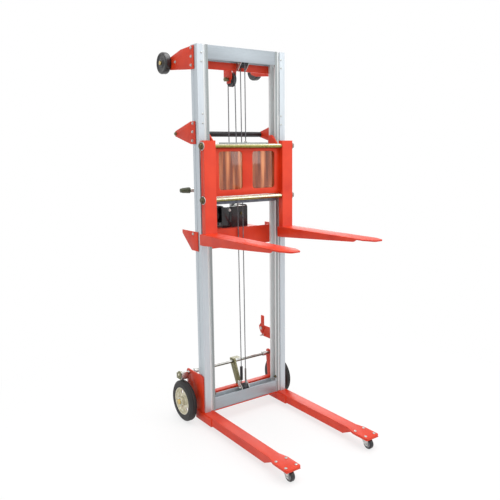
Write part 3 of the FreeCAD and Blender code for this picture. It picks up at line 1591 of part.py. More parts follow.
outer_uprights()
inner_uprights()
slide_pads()
crossbars()
mast_sheaves()
top_cross_plate()
legs()
casters()
base()
rear_wheels()
loading_wheels()
axle_bolts()
top_brackets()
push_handle()
winch_brackets()
winch_frame()
pawl()
winch_drum()
crank()
rope_runs()
forks()
carriage_rods()
carriage_panel()
roller_plates()
brake()
latch()
check_and_export()
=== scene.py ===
"""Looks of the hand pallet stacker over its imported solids, sized in millimetres, built in metres."""
import json
import math

import bmesh
import bpy
from mathutils import Matrix, Vector


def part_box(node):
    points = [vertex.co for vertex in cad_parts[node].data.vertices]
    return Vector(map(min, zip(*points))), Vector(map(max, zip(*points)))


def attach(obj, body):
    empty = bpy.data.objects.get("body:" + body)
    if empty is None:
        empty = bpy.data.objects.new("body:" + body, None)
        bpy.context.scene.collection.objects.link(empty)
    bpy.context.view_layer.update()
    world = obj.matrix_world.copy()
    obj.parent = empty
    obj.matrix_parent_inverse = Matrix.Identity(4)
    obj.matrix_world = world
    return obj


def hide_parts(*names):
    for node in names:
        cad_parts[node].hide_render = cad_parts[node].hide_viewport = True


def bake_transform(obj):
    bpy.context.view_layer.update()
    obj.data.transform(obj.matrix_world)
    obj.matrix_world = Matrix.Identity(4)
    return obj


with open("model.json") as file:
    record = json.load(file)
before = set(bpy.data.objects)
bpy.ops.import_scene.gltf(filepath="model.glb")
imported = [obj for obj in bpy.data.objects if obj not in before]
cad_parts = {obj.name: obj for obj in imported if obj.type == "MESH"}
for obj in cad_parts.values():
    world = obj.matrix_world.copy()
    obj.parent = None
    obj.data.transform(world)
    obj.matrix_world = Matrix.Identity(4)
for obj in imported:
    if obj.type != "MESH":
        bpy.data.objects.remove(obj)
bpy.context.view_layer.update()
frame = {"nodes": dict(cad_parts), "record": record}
scene = bpy.context.scene
MM = 0.001
# In metres: points nearer than this are merged
SAME_POINT = 1e-6
# In millimetres: the round on the edges of plates and castings
EDGE_ROUND = 0.8
# In radians: edges of a cut plate that turn by more than this get the round
EDGE_TURN = 0.7


# Small tools for materials


def colour(code):
    """A colour written as sRGB hex, turned to linear light."""
    shares = [int(code[i:i + 2], 16) / 255 for i in (0, 2, 4)]
    linear = [c / 12.92 if c <= 0.04045 else ((c + 0.055) / 1.055) ** 2.4 for c in shares]
    return (*linear, 1.0)


def wire(tree, node, sockets):
    """Give each named socket of a node a value, or a link from another socket."""
    for name, value in sockets.items():
        if isinstance(value, bpy.types.NodeSocket):
            tree.links.new(value, node.inputs[name])
        else:
            node.inputs[name].default_value = value


def add(tree, kind, sockets=None, stops=(), **settings):
    """One node with its settings, its colour stops and what its sockets take."""
    node = tree.nodes.new(kind)
    for name, value in settings.items():
        setattr(node, name, value)
    for i, (spot, code) in enumerate(stops):
        marks = node.color_ramp.elements
        mark = marks[i] if i < len(marks) else marks.new(spot)
        mark.position = spot
        mark.color = colour(code)
    wire(tree, node, sockets or {})
    return node


def blank(name):
    """A new material with its tree, its shader and the object coordinates that its patterns read."""
    material = bpy.data.materials.new(name)
    material.use_nodes = True
    tree = material.node_tree
    place = add(tree, "ShaderNodeTexCoord").outputs["Object"]
    return material, tree, tree.nodes["Principled BSDF"], place


# Materials; a pattern's scale is 1000 over its size in millimetres


def powder_coat():
    """Powder-coated steel: a baked satin skin with orange peel and slightly uneven cover."""
    material, tree, shader, place = blank("orange_red_powder_coat")
    cover = add(tree, "ShaderNodeTexNoise", {"Vector": place, "Scale": 1000 / 80, "Detail": 2.0})
    tint = add(
        tree,
        "ShaderNodeValToRGB",
        {"Fac": cover.outputs["Fac"]},
        stops=[(0.3, "CE2D0B"), (0.7, "DD3A14")],
    )
    # Peel is about 1 mm across on the real coat; drawn at 2.4 mm so that it shows.
    peel = add(tree, "ShaderNodeTexNoise", {"Vector": place, "Scale": 1000 / 2.4, "Detail": 2.0})
    height = peel.outputs["Fac"]
    satin = add(tree, "ShaderNodeMapRange", {"Value": height, "To Min": 0.36, "To Max": 0.52})
    relief = add(tree, "ShaderNodeBump", {"Height": height, "Distance": 0.12 * MM, "Strength": 0.5})
    wire(tree, shader, {
        "Base Color": tint.outputs["Color"],
        "Roughness": satin.outputs["Result"],
        "Normal": relief.outputs["Normal"],
        "Specular IOR Level": 0.4,
    })
    return material


def drawn_aluminium(name, stretch, dark, light, metallic=0.5):
    """Extruded and anodised aluminium: satin, with die lines drawn out along the bar."""
    material, tree, shader, place = blank(name)
    along = add(tree, "ShaderNodeMapping", {"Vector": place, "Scale": stretch}).outputs[0]
    lines = add(tree, "ShaderNodeTexNoise", {"Vector": along, "Scale": 1000 / 1.6, "Detail": 4.0})
    height = lines.outputs["Fac"]
    tint = add(tree, "ShaderNodeValToRGB", {"Fac": height}, stops=[(0.25, dark), (0.75, light)])
    clouds = add(tree, "ShaderNodeTexNoise", {"Vector": place, "Scale": 1000 / 160, "Detail": 2.0})
    satin = add(
        tree,
        "ShaderNodeMapRange",
        {"Value": clouds.outputs["Fac"], "To Min": 0.34, "To Max": 0.48},
    )
    relief = add(tree, "ShaderNodeBump", {"Height": height, "Distance": 0.05 * MM, "Strength": 0.35})
    wire(tree, shader, {
        "Base Color": tint.outputs["Color"],
        "Metallic": metallic,
        "Roughness": satin.outputs["Result"],
        "Normal": relief.outputs["Normal"],
    })
    return material


def plated(name, dark, light, rough, metallic=0.95):
    """Plated or bare steel: a bright skin with the faint spangle of its zinc, dull where rough."""
    material, tree, shader, place = blank(name)
    spangle = add(tree, "ShaderNodeTexNoise", {"Vector": place, "Scale": 1000 / 9, "Detail": 4.0})
    tint = add(
        tree,
        "ShaderNodeValToRGB",
        {"Fac": spangle.outputs["Fac"]},
        stops=[(0.3, dark), (0.7, light)],
    )
    fine = add(tree, "ShaderNodeTexNoise", {"Vector": place, "Scale": 1000 / 1.2, "Detail": 2.0})
    height = fine.outputs["Fac"]
    limits = {"Value": height, "To Min": rough - 0.07, "To Max": rough + 0.1}
    shine = add(tree, "ShaderNodeMapRange", limits)
    relief = add(tree, "ShaderNodeBump", {"Height": height, "Distance": 0.03 * MM, "Strength": 0.4})
    wire(tree, shader, {
        "Base Color": tint.outputs["Color"],
        "Metallic": metallic,
        "Roughness": shine.outputs["Result"],
        "Normal": relief.outputs["Normal"],
    })
    return material


def moulded(name, dark, light, rough, grain_mm, depth_mm, coat=0.0):
    """Moulded rubber or plastic, or a sprayed enamel where it has a coat, with a fine even grain."""
    material, tree, shader, place = blank(name)
    patches = add(tree, "ShaderNodeTexNoise", {"Vector": place, "Scale": 1000 / 30, "Detail": 3.0})
    tint = add(
        tree,
        "ShaderNodeValToRGB",
        {"Fac": patches.outputs["Fac"]},
        stops=[(0.3, dark), (0.7, light)],
    )
    sockets = {"Vector": place, "Scale": 1000 / grain_mm, "Detail": 2.0}
    height = add(tree, "ShaderNodeTexNoise", sockets).outputs["Fac"]
    limits = {"Value": height, "To Min": rough - 0.08, "To Max": rough + 0.08}
    sheen = add(tree, "ShaderNodeMapRange", limits)
    sockets = {"Height": height, "Distance": depth_mm * MM, "Strength": 0.6}
    relief = add(tree, "ShaderNodeBump", sockets)
    wire(tree, shader, {
        "Base Color": tint.outputs["Color"],
        "Roughness": sheen.outputs["Result"],
        "Normal": relief.outputs["Normal"],
        "Coat Weight": coat,
    })
    return material


def smoked_acrylic():
    """Cast acrylic sheet, smoke tinted: clear and glossy, with painted reflections as soft pale streaks
    down its face.
    """
    material, tree, shader, place = blank("smoked_acrylic_sheet")
    down = add(tree, "ShaderNodeMapping", {"Vector": place, "Scale": (1, 1, 0.06)}).outputs[0]
    # Long pale peach streaks in the brown smoke tint: painted reflections
    painted_reflections = add(tree, "ShaderNodeTexNoise", {"Vector": down, "Scale": 1000 / 26, "Detail": 3.0})
    tint = add(
        tree,
        "ShaderNodeValToRGB",
        {"Fac": painted_reflections.outputs["Fac"]},
        stops=[(0.36, "672D17"), (0.5, "924A28"), (0.64, "DA9060")],
    )
    haze = add(tree, "ShaderNodeTexNoise", {"Vector": place, "Scale": 1000 / 3, "Detail": 2.0})
    polish = add(
        tree,
        "ShaderNodeMapRange",
        {"Value": haze.outputs["Fac"], "To Min": 0.05, "To Max": 0.16},
    )
    wire(tree, shader, {
        "Base Color": tint.outputs["Color"],
        "Roughness": polish.outputs["Result"],
        "Transmission Weight": 0.45,
        "IOR": 1.49,
        "Coat Weight": 0.5,
    })
    return material


# Die lines are drawn out 250 times along an upright or a crossbar
UPRIGHT_LINES = (1, 1, 0.004)
CROSSBAR_LINES = (0.004, 1, 1)

RED = powder_coat()
MAST = drawn_aluminium("anodised_mast_extrusion", UPRIGHT_LINES, "B6BEC5", "CED6DB")
# Paler and less metallic than the mast: painted light in the inner mast's shaded channels
INNER = drawn_aluminium("anodised_inner_extrusion_painted_light", UPRIGHT_LINES, "DADFE0", "EEF1F1", 0.12)
# Darker than the mast: painted shade on the inner mast's front lips, and the panel strip's own colour
SHADE_AND_DARK_ALUMINIUM = drawn_aluminium("dark_aluminium_and_painted_shade", UPRIGHT_LINES, "7F8687", "9DA4A5", 0.4)
# Darker than the mast: painted shade on the crossbars, against the lamps' glare
CROSS = drawn_aluminium("anodised_cross_channel_painted_shade", CROSSBAR_LINES, "99A2A8", "B2BAC0")
ZINC = plated("bright_zinc_plate", "A9ABA8", "D3D5D2", 0.3)
YELLOW_ZINC = plated("yellow_zinc_plate", "B79A58", "DCC78B", 0.24)
OLIVE_ZINC = plated("olive_zinc_plate", "5C5A3E", "8B8868", 0.36, 0.75)
DARK_ZINC = plated("dark_olive_zinc_plate", "453F2C", "6E6749", 0.34, 0.8)
ROD = plated("iridescent_zinc_rod", "716D34", "A09C5C", 0.15, 0.85)
# Pale zinc: a painted highlight along the tops of the carriage rods
ROD_HIGHLIGHT = plated("zinc_rod_painted_highlight", "CFCBA8", "F0EDD6", 0.15, 0.8)
# Darker zinc: painted shade on the brake shaft, which takes a painted highlight of bright zinc along
# its top
SHAFT = plated("zinc_shaft_painted_shade", "62634F", "8C8D78", 0.2, 0.9)
STEEL = plated("blue_grey_steel", "4E545E", "6F7681", 0.42, 0.6)
RIM = plated("pale_pressed_steel", "C6C0A8", "E6E2D0", 0.38, 0.7)
WIRE = plated("galvanised_wire_rope", "595B5F", "85878B", 0.38, 0.6)
BLACK = moulded("black_enamel", "07050A", "100C15", 0.22, 3.0, 0.04, 0.2)
TYRE = moulded("tyre_rubber", "121011", "1F1D1E", 0.55, 1.2, 0.08)
WHEEL = moulded("solid_wheel_rubber", "131315", "202023", 0.36, 1.4, 0.05, 0.25)
SLEEVE = moulded("black_vinyl_sleeve", "121214", "1E1E21", 0.46, 0.9, 0.08)
NYLON = moulded("dark_grey_nylon", "3A3B3D", "4D4E51", 0.42, 2.0, 0.04)
GREY = moulded("mid_grey_nylon", "8A8C8F", "A2A4A7", 0.45, 1.8, 0.04)
HOSE = moulded("grey_brown_hose", "5F5A56", "77716C", 0.5, 1.2, 0.05)
WHITE = moulded("white_nylon", "D2D1CA", "E6E5DF", 0.42, 2.0, 0.04)
GRIP = moulded("olive_green_polypropylene", "3A3E2F", "52573F", 0.42, 1.0, 0.1)
GUARD = smoked_acrylic()

FINISH_OF_SLOT = {
    "red_paint": RED,
    "mast_aluminium": MAST,
    "zinc": ZINC,
    "yellow_zinc": YELLOW_ZINC,
    "black_steel": BLACK,
    "tyre_rubber": TYRE,
    "wheel_rubber": WHEEL,
    "rim_cream": RIM,
    "grey_nylon": NYLON,
    "white_nylon": WHITE,
    "guard_clear": GUARD,
    "steel_rope": WIRE,
    "grip_plastic": GRIP,
}
for row in frame["record"]["subparts"]:
    mesh = frame["nodes"][row["node"]].data
    mesh.materials.clear()
    mesh.materials.append(FINISH_OF_SLOT[row["material_slot"]])


def refinish(node, finish, low=None, high=None):
    """Another finish on a solid, or only on its faces between two corners, in millimetres."""
    mesh = frame["nodes"][node].data
    if low is None:
        mesh.materials[0] = finish
        return
    mesh.materials.append(finish)
    for face in mesh.polygons:
        if all(a * MM <= c <= b * MM for a, c, b in zip(low, face.center, high)):
            face.material_index = len(mesh.materials) - 1


# Painted light and shade on the aluminium: a paler inner mast, painted light in its shaded channels,
# with darker front lips painted shade; darker crossbars painted shade, the lower one pale inside its
# rear wall, painted light
refinish("inner_upright_left", INNER)
refinish("inner_upright_right", INNER)
refinish("inner_upright_left", SHADE_AND_DARK_ALUMINIUM, (-236, 164, 60), (-186, 164.8, 1775))
refinish("inner_upright_right", SHADE_AND_DARK_ALUMINIUM, (186, 164, 60), (236, 164.8, 1775))
refinish("top_crossbar", CROSS)
refinish("bottom_crossbar", CROSS)
refinish("bottom_crossbar", MAST, (-190, 211, 60), (190, 212, 130))
# A brake shaft in darker zinc as painted shade, with a painted highlight of bright zinc along its top,
# and olive shoes, pedal and post
refinish("brake_shaft", SHAFT)
refinish("brake_shaft", ZINC, (-255, 290, 232), (255, 320, 240))
refinish("brake_shaft", OLIVE_ZINC, (-320, 290, 200), (-262, 400, 250))
refinish("brake_shaft", OLIVE_ZINC, (262, 290, 200), (320, 400, 250))
refinish("brake_shaft", OLIVE_ZINC, (20, 300, 200), (70, 360, 250))
refinish("base_cross_tube", OLIVE_ZINC, (6, 240, 122.5), (18, 330, 260))
# Carriage rods with a painted highlight of pale zinc along their tops, with dark nuts, and red roller
# plates with bare pins
refinish("carriage_rods", ROD)
refinish("carriage_rods", ROD_HIGHLIGHT, (-178, 110, 1333), (178, 142, 1346))
refinish("carriage_rods", ROD_HIGHLIGHT, (-178, 110, 1090), (178, 142, 1103))
refinish("carriage_rods", DARK_ZINC, (-270, 110, 1070), (-251, 145, 1350))
refinish("carriage_rods", DARK_ZINC, (251, 110, 1070), (270, 145, 1350))
refinish("roller_plate_left", RED, (-181.5, 140, 1080), (-174.5, 210, 1385))
refinish("roller_plate_right", RED, (174.5, 140, 1080), (181.5, 210, 1385))
# A zinc crank with a green head on its grip pin, yellow bolts in the loading and rear wheels, and
# a zinc stop pin at the latch
refinish("crank", ZINC)
refinish("crank", GRIP, (-218, 340, 1080), (-214.2, 410, 1140))
refinish("axle_bolts", YELLOW_ZINC, (-400, 420, 1700), (400, 450, 1750))
refinish("axle_bolts", YELLOW_ZINC, (-400, 270, 80), (400, 310, 120))
refinish("latch_bracket", ZINC, (220, 340, 305), (243.4, 380, 365))


# Small tools for meshes


def finished(name, mesh, body, finish, stands_for=()):
    """A finished piece at the origin that rides on a body."""
    mesh.materials.clear()
    mesh.materials.append(finish)
    piece = bpy.data.objects.new(name, mesh)
    scene.collection.objects.link(piece)
    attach(piece, body)
    if stands_for:
        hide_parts(*stands_for)


def middle(node):
    """The middle of a solid's box, in millimetres."""
    low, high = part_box(node)
    return (low + high) / 2 / MM


def turned_size(node):
    """Half the width and the radius of a solid that turns about X, in millimetres."""
    low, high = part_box(node)
    return (high.x - low.x) / 2 / MM, (high.z - low.z) / 2 / MM


def smooth(mesh, angle=35):
    """Smooth faces with sharp edges where they turn by more than an angle."""
    mesh.polygons.foreach_set("use_smooth", [True] * len(mesh.polygons))
    mesh.set_sharp_from_angle(angle=math.radians(angle))
    return mesh


def mesh_of(shape, name):
    """The mesh of a working shape, which is then freed."""
    mesh = bpy.data.meshes.new(name)
    shape.to_mesh(mesh)
    shape.free()
    return mesh


# A rounded corner has this many steps and takes at most this share of its edges
CORNER_STEPS = 3
CORNER_SHARE = 0.45


def soften(points, reach):
    """A closed outline with its corners rounded, each by up to a reach."""
    count = len(points)
    result = []
    for i in range(count):
        before, here, after = (Vector(points[(i + k) % count]) for k in (-1, 0, 1))
        ways = (before - here, after - here)
        start, end = (here + w.normalized() * min(reach, w.length * CORNER_SHARE) for w in ways)
        for k in range(CORNER_STEPS + 1):
            t = k / CORNER_STEPS
            result.append(start * (1 - t) ** 2 + here * 2 * t * (1 - t) + end * t ** 2)
    return result


def mirrored(side, middle_points=()):
    """A profile from its left side, what lies in its middle and the same side turned round."""
    other = [(-along, radius) for along, radius in reversed(side)]
    return [*side, *middle_points, *other]


def tube(start, end, inner, outer):
    """The profile of a plain ring or tube between two places on its axis."""
    return [(start, inner), (start, outer), (end, outer), (end, inner)]


# An axis and the two that follow it
TURNS = {"X": (0, 1, 2), "Y": (1, 2, 0), "Z": (2, 0, 1)}


def lathe(profile, centre, steps, reach, axis="X"):
    """A mesh turned about an axis; the closed profile gives (along the axis, radius) in millimetres."""
    points = soften(profile, reach)
    turn = TURNS[axis]
    shape = bmesh.new()
    rings = []
    for k in range(steps):
        angle = 2 * math.pi * k / steps
        ring = []
        for along, radius in points:
            spot = Vector()
            spot[turn[0]] = along
            spot[turn[1]] = radius * math.cos(angle)
            spot[turn[2]] = radius * math.sin(angle)
            ring.append(shape.verts.new((spot + Vector(centre)) * MM))
        rings.append(ring)
    count = len(points)
    for k in range(steps):
        near = rings[k]
        far = rings[(k + 1) % steps]
        for i in range(count):
            j = (i + 1) % count
            shape.faces.new((near[i], near[j], far[j], far[i]))
    bmesh.ops.remove_doubles(shape, verts=shape.verts, dist=SAME_POINT)
    bmesh.ops.recalc_face_normals(shape, faces=shape.faces)
    return smooth(mesh_of(shape, "turned"))


def plate(outline, axis, start, end, reach=0.0):
    """A plate cut to an outline in the two axes after its own, with rounded edges, in millimetres."""
    points = soften(outline, reach) if reach else outline
    turn = TURNS[axis]
    shape = bmesh.new()
    rings = []
    for along in (start, end):
        ring = []
        for first, second in points:
            spot = Vector()
            spot[turn[0]] = along
            spot[turn[1]] = first
            spot[turn[2]] = second
            ring.append(shape.verts.new(spot * MM))
        rings.append(ring)
        shape.faces.new(ring)
    near, far = rings
    count = len(points)
    for i in range(count):
        j = (i + 1) % count
        shape.faces.new((near[i], near[j], far[j], far[i]))
    bmesh.ops.recalc_face_normals(shape, faces=shape.faces)
    sharp = [edge for edge in shape.edges if edge.calc_face_angle(0) > EDGE_TURN]
    offset = EDGE_ROUND * MM
    bmesh.ops.bevel(shape, geom=sharp, offset=offset, segments=2, affect="EDGES", profile=0.5)
    return smooth(mesh_of(shape, "plate"))


def joined(*meshes):
    """Several meshes as one."""
    shape = bmesh.new()
    for mesh in meshes:
        shape.from_mesh(mesh)
    return smooth(mesh_of(shape, "joined"))


def evaluated(thing):
    """The plain mesh of an object with its modifiers, which is then removed."""
    bpy.context.view_layer.update()
    graph = bpy.context.evaluated_depsgraph_get()
    mesh = bpy.data.meshes.new_from_object(thing.evaluated_get(graph), depsgraph=graph)
    mesh.transform(thing.matrix_world)
    bpy.data.objects.remove(thing)
    return mesh


def pierced_disc(outer, holes, wall, round_off):
    """A flat disc with round holes and softened edges, lying across Z, in millimetres."""
    curve = bpy.data.curves.new("disc", "CURVE")
    curve.dimensions = "2D"
    curve.fill_mode = "BOTH"
    curve.extrude = (wall / 2 - round_off) * MM
    curve.bevel_depth = round_off * MM
    curve.bevel_resolution = 2
    curve.resolution_u = 10
    knots = 8
    # The bevel stands out from each curve, so the rim is drawn smaller and the holes larger
    circles = [(0, 0, outer - round_off)]
    circles += [(x, y, radius + round_off) for x, y, radius in holes]
    for x, y, radius in circles:
        spline = curve.splines.new("BEZIER")
        spline.bezier_points.add(knots - 1)
        spline.use_cyclic_u = True
        size = radius * MM
        reach = size * 4 / 3 * math.tan(math.pi / 2 / knots)
        for k, point in enumerate(spline.bezier_points):
            angle = 2 * math.pi * k / knots
            out = Vector((math.cos(angle), math.sin(angle), 0))
            side = Vector((-out.y, out.x, 0))
            point.co = Vector((x, y, 0)) * MM + out * size
            point.handle_left = point.co - side * reach
            point.handle_right = point.co + side * reach
    thing = bpy.data.objects.new("disc", curve)
    scene.collection.objects.link(thing)
    mesh = evaluated(thing)
    shape = bmesh.new()
    shape.from_mesh(mesh)
    bmesh.ops.remove_doubles(shape, verts=shape.verts, dist=SAME_POINT)
    bmesh.ops.recalc_face_normals(shape, faces=shape.faces)
    shape.to_mesh(mesh)
    shape.free()
    return mesh


def across_x(mesh, x, y, z):
    """A mesh made across Z, stood across X at a place in millimetres."""
    stand = Matrix.Rotation(math.pi / 2, 4, "Y")
    mesh.transform(Matrix.Translation(Vector((x, y, z)) * MM) @ stand)
    return mesh


# Geometry Nodes trees


def new_tree(name, inputs):
    """An empty tree with a geometry input, named inputs and a geometry output."""
    tree = bpy.data.node_groups.new(name, "GeometryNodeTree")
    tree.interface.new_socket("Geometry", in_out="INPUT", socket_type="NodeSocketGeometry")
    for label, kind in inputs:
        tree.interface.new_socket(label, in_out="INPUT", socket_type="NodeSocket" + kind)
    tree.interface.new_socket("Geometry", in_out="OUTPUT", socket_type="NodeSocketGeometry")
    return tree, add(tree, "NodeGroupInput").outputs


def close_tree(tree, geometry, finish):
    """Real faces with their material, at the tree's end."""
    real = add(tree, "GeometryNodeRealizeInstances", {"Geometry": geometry})
    sockets = {"Geometry": real.outputs[0], "Material": finish}
    painted = add(tree, "GeometryNodeSetMaterial", sockets)
    add(tree, "NodeGroupOutput", {"Geometry": painted.outputs[0]})
    return tree


def run_tree(tree, thing, values):
    """The plain mesh that a tree makes from an object and its named values."""
    scene.collection.objects.link(thing)
    modifier = thing.modifiers.new("maker", "NODES")
    modifier.node_group = tree
    for item in tree.interface.items_tree:
        if item.item_type == "SOCKET" and item.in_out == "INPUT" and item.name in values:
            modifier[item.identifier] = values[item.name]
    return evaluated(thing)


def fastener_tree():
    """Sets a fastener on every point, turned along the point's axis and scaled to its size."""
    tree, given = new_tree("set_fasteners", [("Fastener", "Object"), ("Finish", "Material")])
    points = add(tree, "GeometryNodeMeshToPoints", {"Mesh": given["Geometry"]})
    shape = add(tree, "GeometryNodeObjectInfo", {"Object": given["Fastener"]})
    axis = add(tree, "GeometryNodeInputNamedAttribute", {"Name": "axis"}, data_type="FLOAT_VECTOR")
    size = add(tree, "GeometryNodeInputNamedAttribute", {"Name": "size"}, data_type="FLOAT")
    turn = add(tree, "FunctionNodeAlignRotationToVector", {"Vector": axis.outputs[0]}, axis="Z")
    sockets = {
        "Points": points.outputs[0],
        "Instance": shape.outputs["Geometry"],
        "Rotation": turn.outputs[0],
        "Scale": size.outputs[0],
    }
    set_on = add(tree, "GeometryNodeInstanceOnPoints", sockets)
    return close_tree(tree, set_on.outputs[0], given["Finish"])


def rope_tree():
    """Lays strands round a path: a ring of strand sections swept along it with a steady twist."""
    inputs = [("Strands", "Int"), ("Strand Radius", "Float"), ("Lay Radius", "Float")]
    inputs += [("Lay Length", "Float"), ("Step", "Float"), ("Finish", "Material")]
    tree, given = new_tree("lay_wire_rope", inputs)
    sockets = {"Curve": given["Geometry"], "Length": given["Step"]}
    even = add(tree, "GeometryNodeResampleCurve", sockets, mode="LENGTH")
    travel = add(tree, "GeometryNodeSplineParameter").outputs["Length"]
    turns = add(tree, "ShaderNodeMath", {0: travel, 1: given["Lay Length"]}, operation="DIVIDE")
    sockets = {0: turns.outputs[0], 1: 2 * math.pi}
    angle = add(tree, "ShaderNodeMath", sockets, operation="MULTIPLY")
    sockets = {"Curve": even.outputs[0], "Tilt": angle.outputs[0]}
    twisted = add(tree, "GeometryNodeSetCurveTilt", sockets)
    sockets = {"Vertices": given["Strands"], "Radius": given["Lay Radius"]}
    ring = add(tree, "GeometryNodeMeshCircle", sockets)
    sockets = {"Resolution": 6, "Radius": given["Strand Radius"]}
    strand = add(tree, "GeometryNodeCurvePrimitiveCircle", sockets)
    sockets = {"Points": ring.outputs[0], "Instance": strand.outputs[0]}
    spread = add(tree, "GeometryNodeInstanceOnPoints", sockets)
    section = add(tree, "GeometryNodeRealizeInstances", {"Geometry": spread.outputs[0]})
    sockets = {"Curve": twisted.outputs[0], "Profile Curve": section.outputs[0], "Fill Caps": True}
    swept = add(tree, "GeometryNodeCurveToMesh", sockets)
    return close_tree(tree, swept.outputs[0], given["Finish"])


def smooth_tree():
    """Smooth faces with sharp edges where they turn by more than an angle."""
    tree, given = new_tree("smooth_by_angle", [("Angle", "Float")])
    turn = add(tree, "GeometryNodeInputMeshEdgeAngle").outputs["Unsigned Angle"]
    sockets = {0: turn, 1: given["Angle"]}
    keen = add(tree, "FunctionNodeCompare", sockets, operation="GREATER_THAN")
    soft = add(tree, "GeometryNodeSetShadeSmooth", {"Geometry": given["Geometry"]}, domain="FACE")
    sockets = {"Geometry": soft.outputs[0], "Selection": keen.outputs[0], "Shade Smooth": False}
    sharp = add(tree, "GeometryNodeSetShadeSmooth", sockets, domain="EDGE")
    add(tree, "NodeGroupOutput", {"Geometry": sharp.outputs[0]})
    return tree


FASTENERS = fastener_tree()
WIRE_ROPE = rope_tree()


# Fasteners


def stack(shape, sides, levels):
    """Add a closed stack of rings to a working shape; a level is (radius, height)."""
    angles = [2 * math.pi * k / sides for k in range(sides)]
    rings = []
    for radius, z in levels:
        spots = [(radius * math.cos(a), radius * math.sin(a), z) for a in angles]
        rings.append([shape.verts.new(spot) for spot in spots])
    for near, far in zip(rings, rings[1:]):
        for i in range(sides):
            j = (i + 1) % sides
            shape.faces.new((near[i], near[j], far[j], far[i]))
    shape.faces.new(rings[0][::-1])
    shape.faces.new(rings[-1])


def hex_head():
    """A chamfered hexagon head on a washer, one unit across its washer, standing on the XY plane."""
    shape = bmesh.new()
    stack(shape, 24, [(0.5, 0.0), (0.5, 0.07), (0.47, 0.09), (0.36, 0.09)])
    stack(shape, 6, [(0.43, 0.05), (0.43, 0.36), (0.387, 0.41), (0.2365, 0.42)])
    return mesh_of(shape, "hex_head")


def dome_head():
    """A low domed head with a round socket, one unit across."""
    shape = bmesh.new()
    dome = [(0.5, 0.0), (0.5, 0.06), (0.46, 0.17), (0.36, 0.26), (0.24, 0.3)]
    socket = [(0.2, 0.3), (0.2, 0.12)]
    stack(shape, 12, dome + socket)
    return mesh_of(shape, "dome_head")


HEX = bpy.data.objects.new("hex_head", hex_head())
DOME = bpy.data.objects.new("dome_head", dome_head())
LEFTWARD = (-1, 0, 0)
RIGHTWARD = (1, 0, 0)
FORWARD = (0, -1, 0)
REARWARD = (0, 1, 0)
UPWARD = (0, 0, 1)
# The winch cover's lip stands this far before its frame
LIP_PROUD = 2


def set_fasteners(name, shape, spots, body, finish):
    """Fasteners of one body as one piece; a spot is (x, y, z, axis, width) in millimetres."""
    mesh = bpy.data.meshes.new(name)
    mesh.from_pydata([Vector(spot[:3]) * MM for spot in spots], [], [])
    axes = [share for spot in spots for share in spot[3]]
    mesh.attributes.new("axis", "FLOAT_VECTOR", "POINT").data.foreach_set("vector", axes)
    sizes = [spot[4] * MM for spot in spots]
    mesh.attributes.new("size", "FLOAT", "POINT").data.foreach_set("value", sizes)
    thing = bpy.data.objects.new(name, mesh)
    made = run_tree(FASTENERS, thing, {"Fastener": shape, "Finish": finish})
    finished(name, smooth(made), body, finish)


def both_sides(spots):
    """The spots and their twins on the other side."""
    result = []
    for x, y, z, axis, width in spots:
        result.append((x, y, z, axis, width))
        result.append((-x, y, z, (-axis[0], axis[1], axis[2]), width))
    return result


def mast_fasteners():
    """Screws on the mast's front, bolts on its side brackets and stops at the inner mast's foot."""
    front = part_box("outer_upright_left")[0].y / MM
    screws = [(-221, front, z, FORWARD, 9.5) for z in (1734, 1696, 1472, 1431)]
    set_fasteners("mast_screws", DOME, both_sides(screws), "frame", ZINC)
    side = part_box("top_bracket_left")[0].x / MM
    top_bracket = [(205, 1756), (206, 1720), (208, 1683), (353, 1714)]
    handle_bracket = [(206, 1431), (210, 1394), (213, 1355)]
    winch_bracket = [(229, 929)]
    spots = top_bracket + handle_bracket + winch_bracket
    bolts = [(side, y, z, LEFTWARD, 13) for y, z in spots]
    set_fasteners("bracket_bolts", HEX, both_sides(bolts), "frame", ZINC)
    ends = [(side, 368.5, 1390, LEFTWARD, 17)]
    set_fasteners("bar_end_bolts", HEX, both_sides(ends), "frame", OLIVE_ZINC)
    stops = [(-187, 172, 148, RIGHTWARD, 16)]
    set_fasteners("mast_stop_bolts", HEX, both_sides(stops), "inner_mast", DARK_ZINC)


def base_fasteners():
    """Four bolts on each caster's pad, and the bolts of the cross plates behind the mast."""
    pad_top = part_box("leg_left")[1].z / MM
    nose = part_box("leg_left")[0].y / MM
    pad_middle = -223.5
    heads = [(pad_middle + x, nose + y, pad_top, UPWARD, 13) for x in (-26, 26) for y in (20, 84)]
    set_fasteners("caster_bolts", DOME, both_sides(heads), "frame", ZINC)
    plate_wall = 4
    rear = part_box("outer_upright_left")[1].y / MM + plate_wall
    bolts = [(-x, rear, z, REARWARD, 15) for x in (150, 222) for z in (870, 920)]
    bolts += [(-x, rear, z, REARWARD, 15) for x in (60, 222) for z in (1694, 1740)]
    set_fasteners("cross_plate_bolts", HEX, both_sides(bolts), "frame", ZINC)


def winch_fasteners():
    """Bolts through the winch's feet, front cover and sides."""
    foot_wall = 4
    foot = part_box("winch_cross_plate")[1].z / MM + foot_wall
    bolts = [(-56, y, foot, UPWARD, 14) for y in (274, 322)]
    set_fasteners("winch_base_bolts", HEX, both_sides(bolts), "frame", ZINC)
    low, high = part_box("winch_frame")
    front = low.y / MM
    bolts = [(-35, front - LIP_PROUD, 1025, FORWARD, 15)]
    set_fasteners("cover_bolt", HEX, bolts, "frame", ZINC)
    studs = [(35.5, front, 1005, FORWARD, 17)]
    set_fasteners("cover_stud", HEX, studs, "frame", DARK_ZINC)
    spots = [(274, 1034), (376, 1034), (274, 958)]
    bolts = [(low.x / MM, y, z, LEFTWARD, 13) for y, z in spots]
    bolts += [(high.x / MM, y, z, RIGHTWARD, 13) for y, z in spots]
    set_fasteners("winch_side_bolts", HEX, bolts, "frame", BLACK)


# Wheels


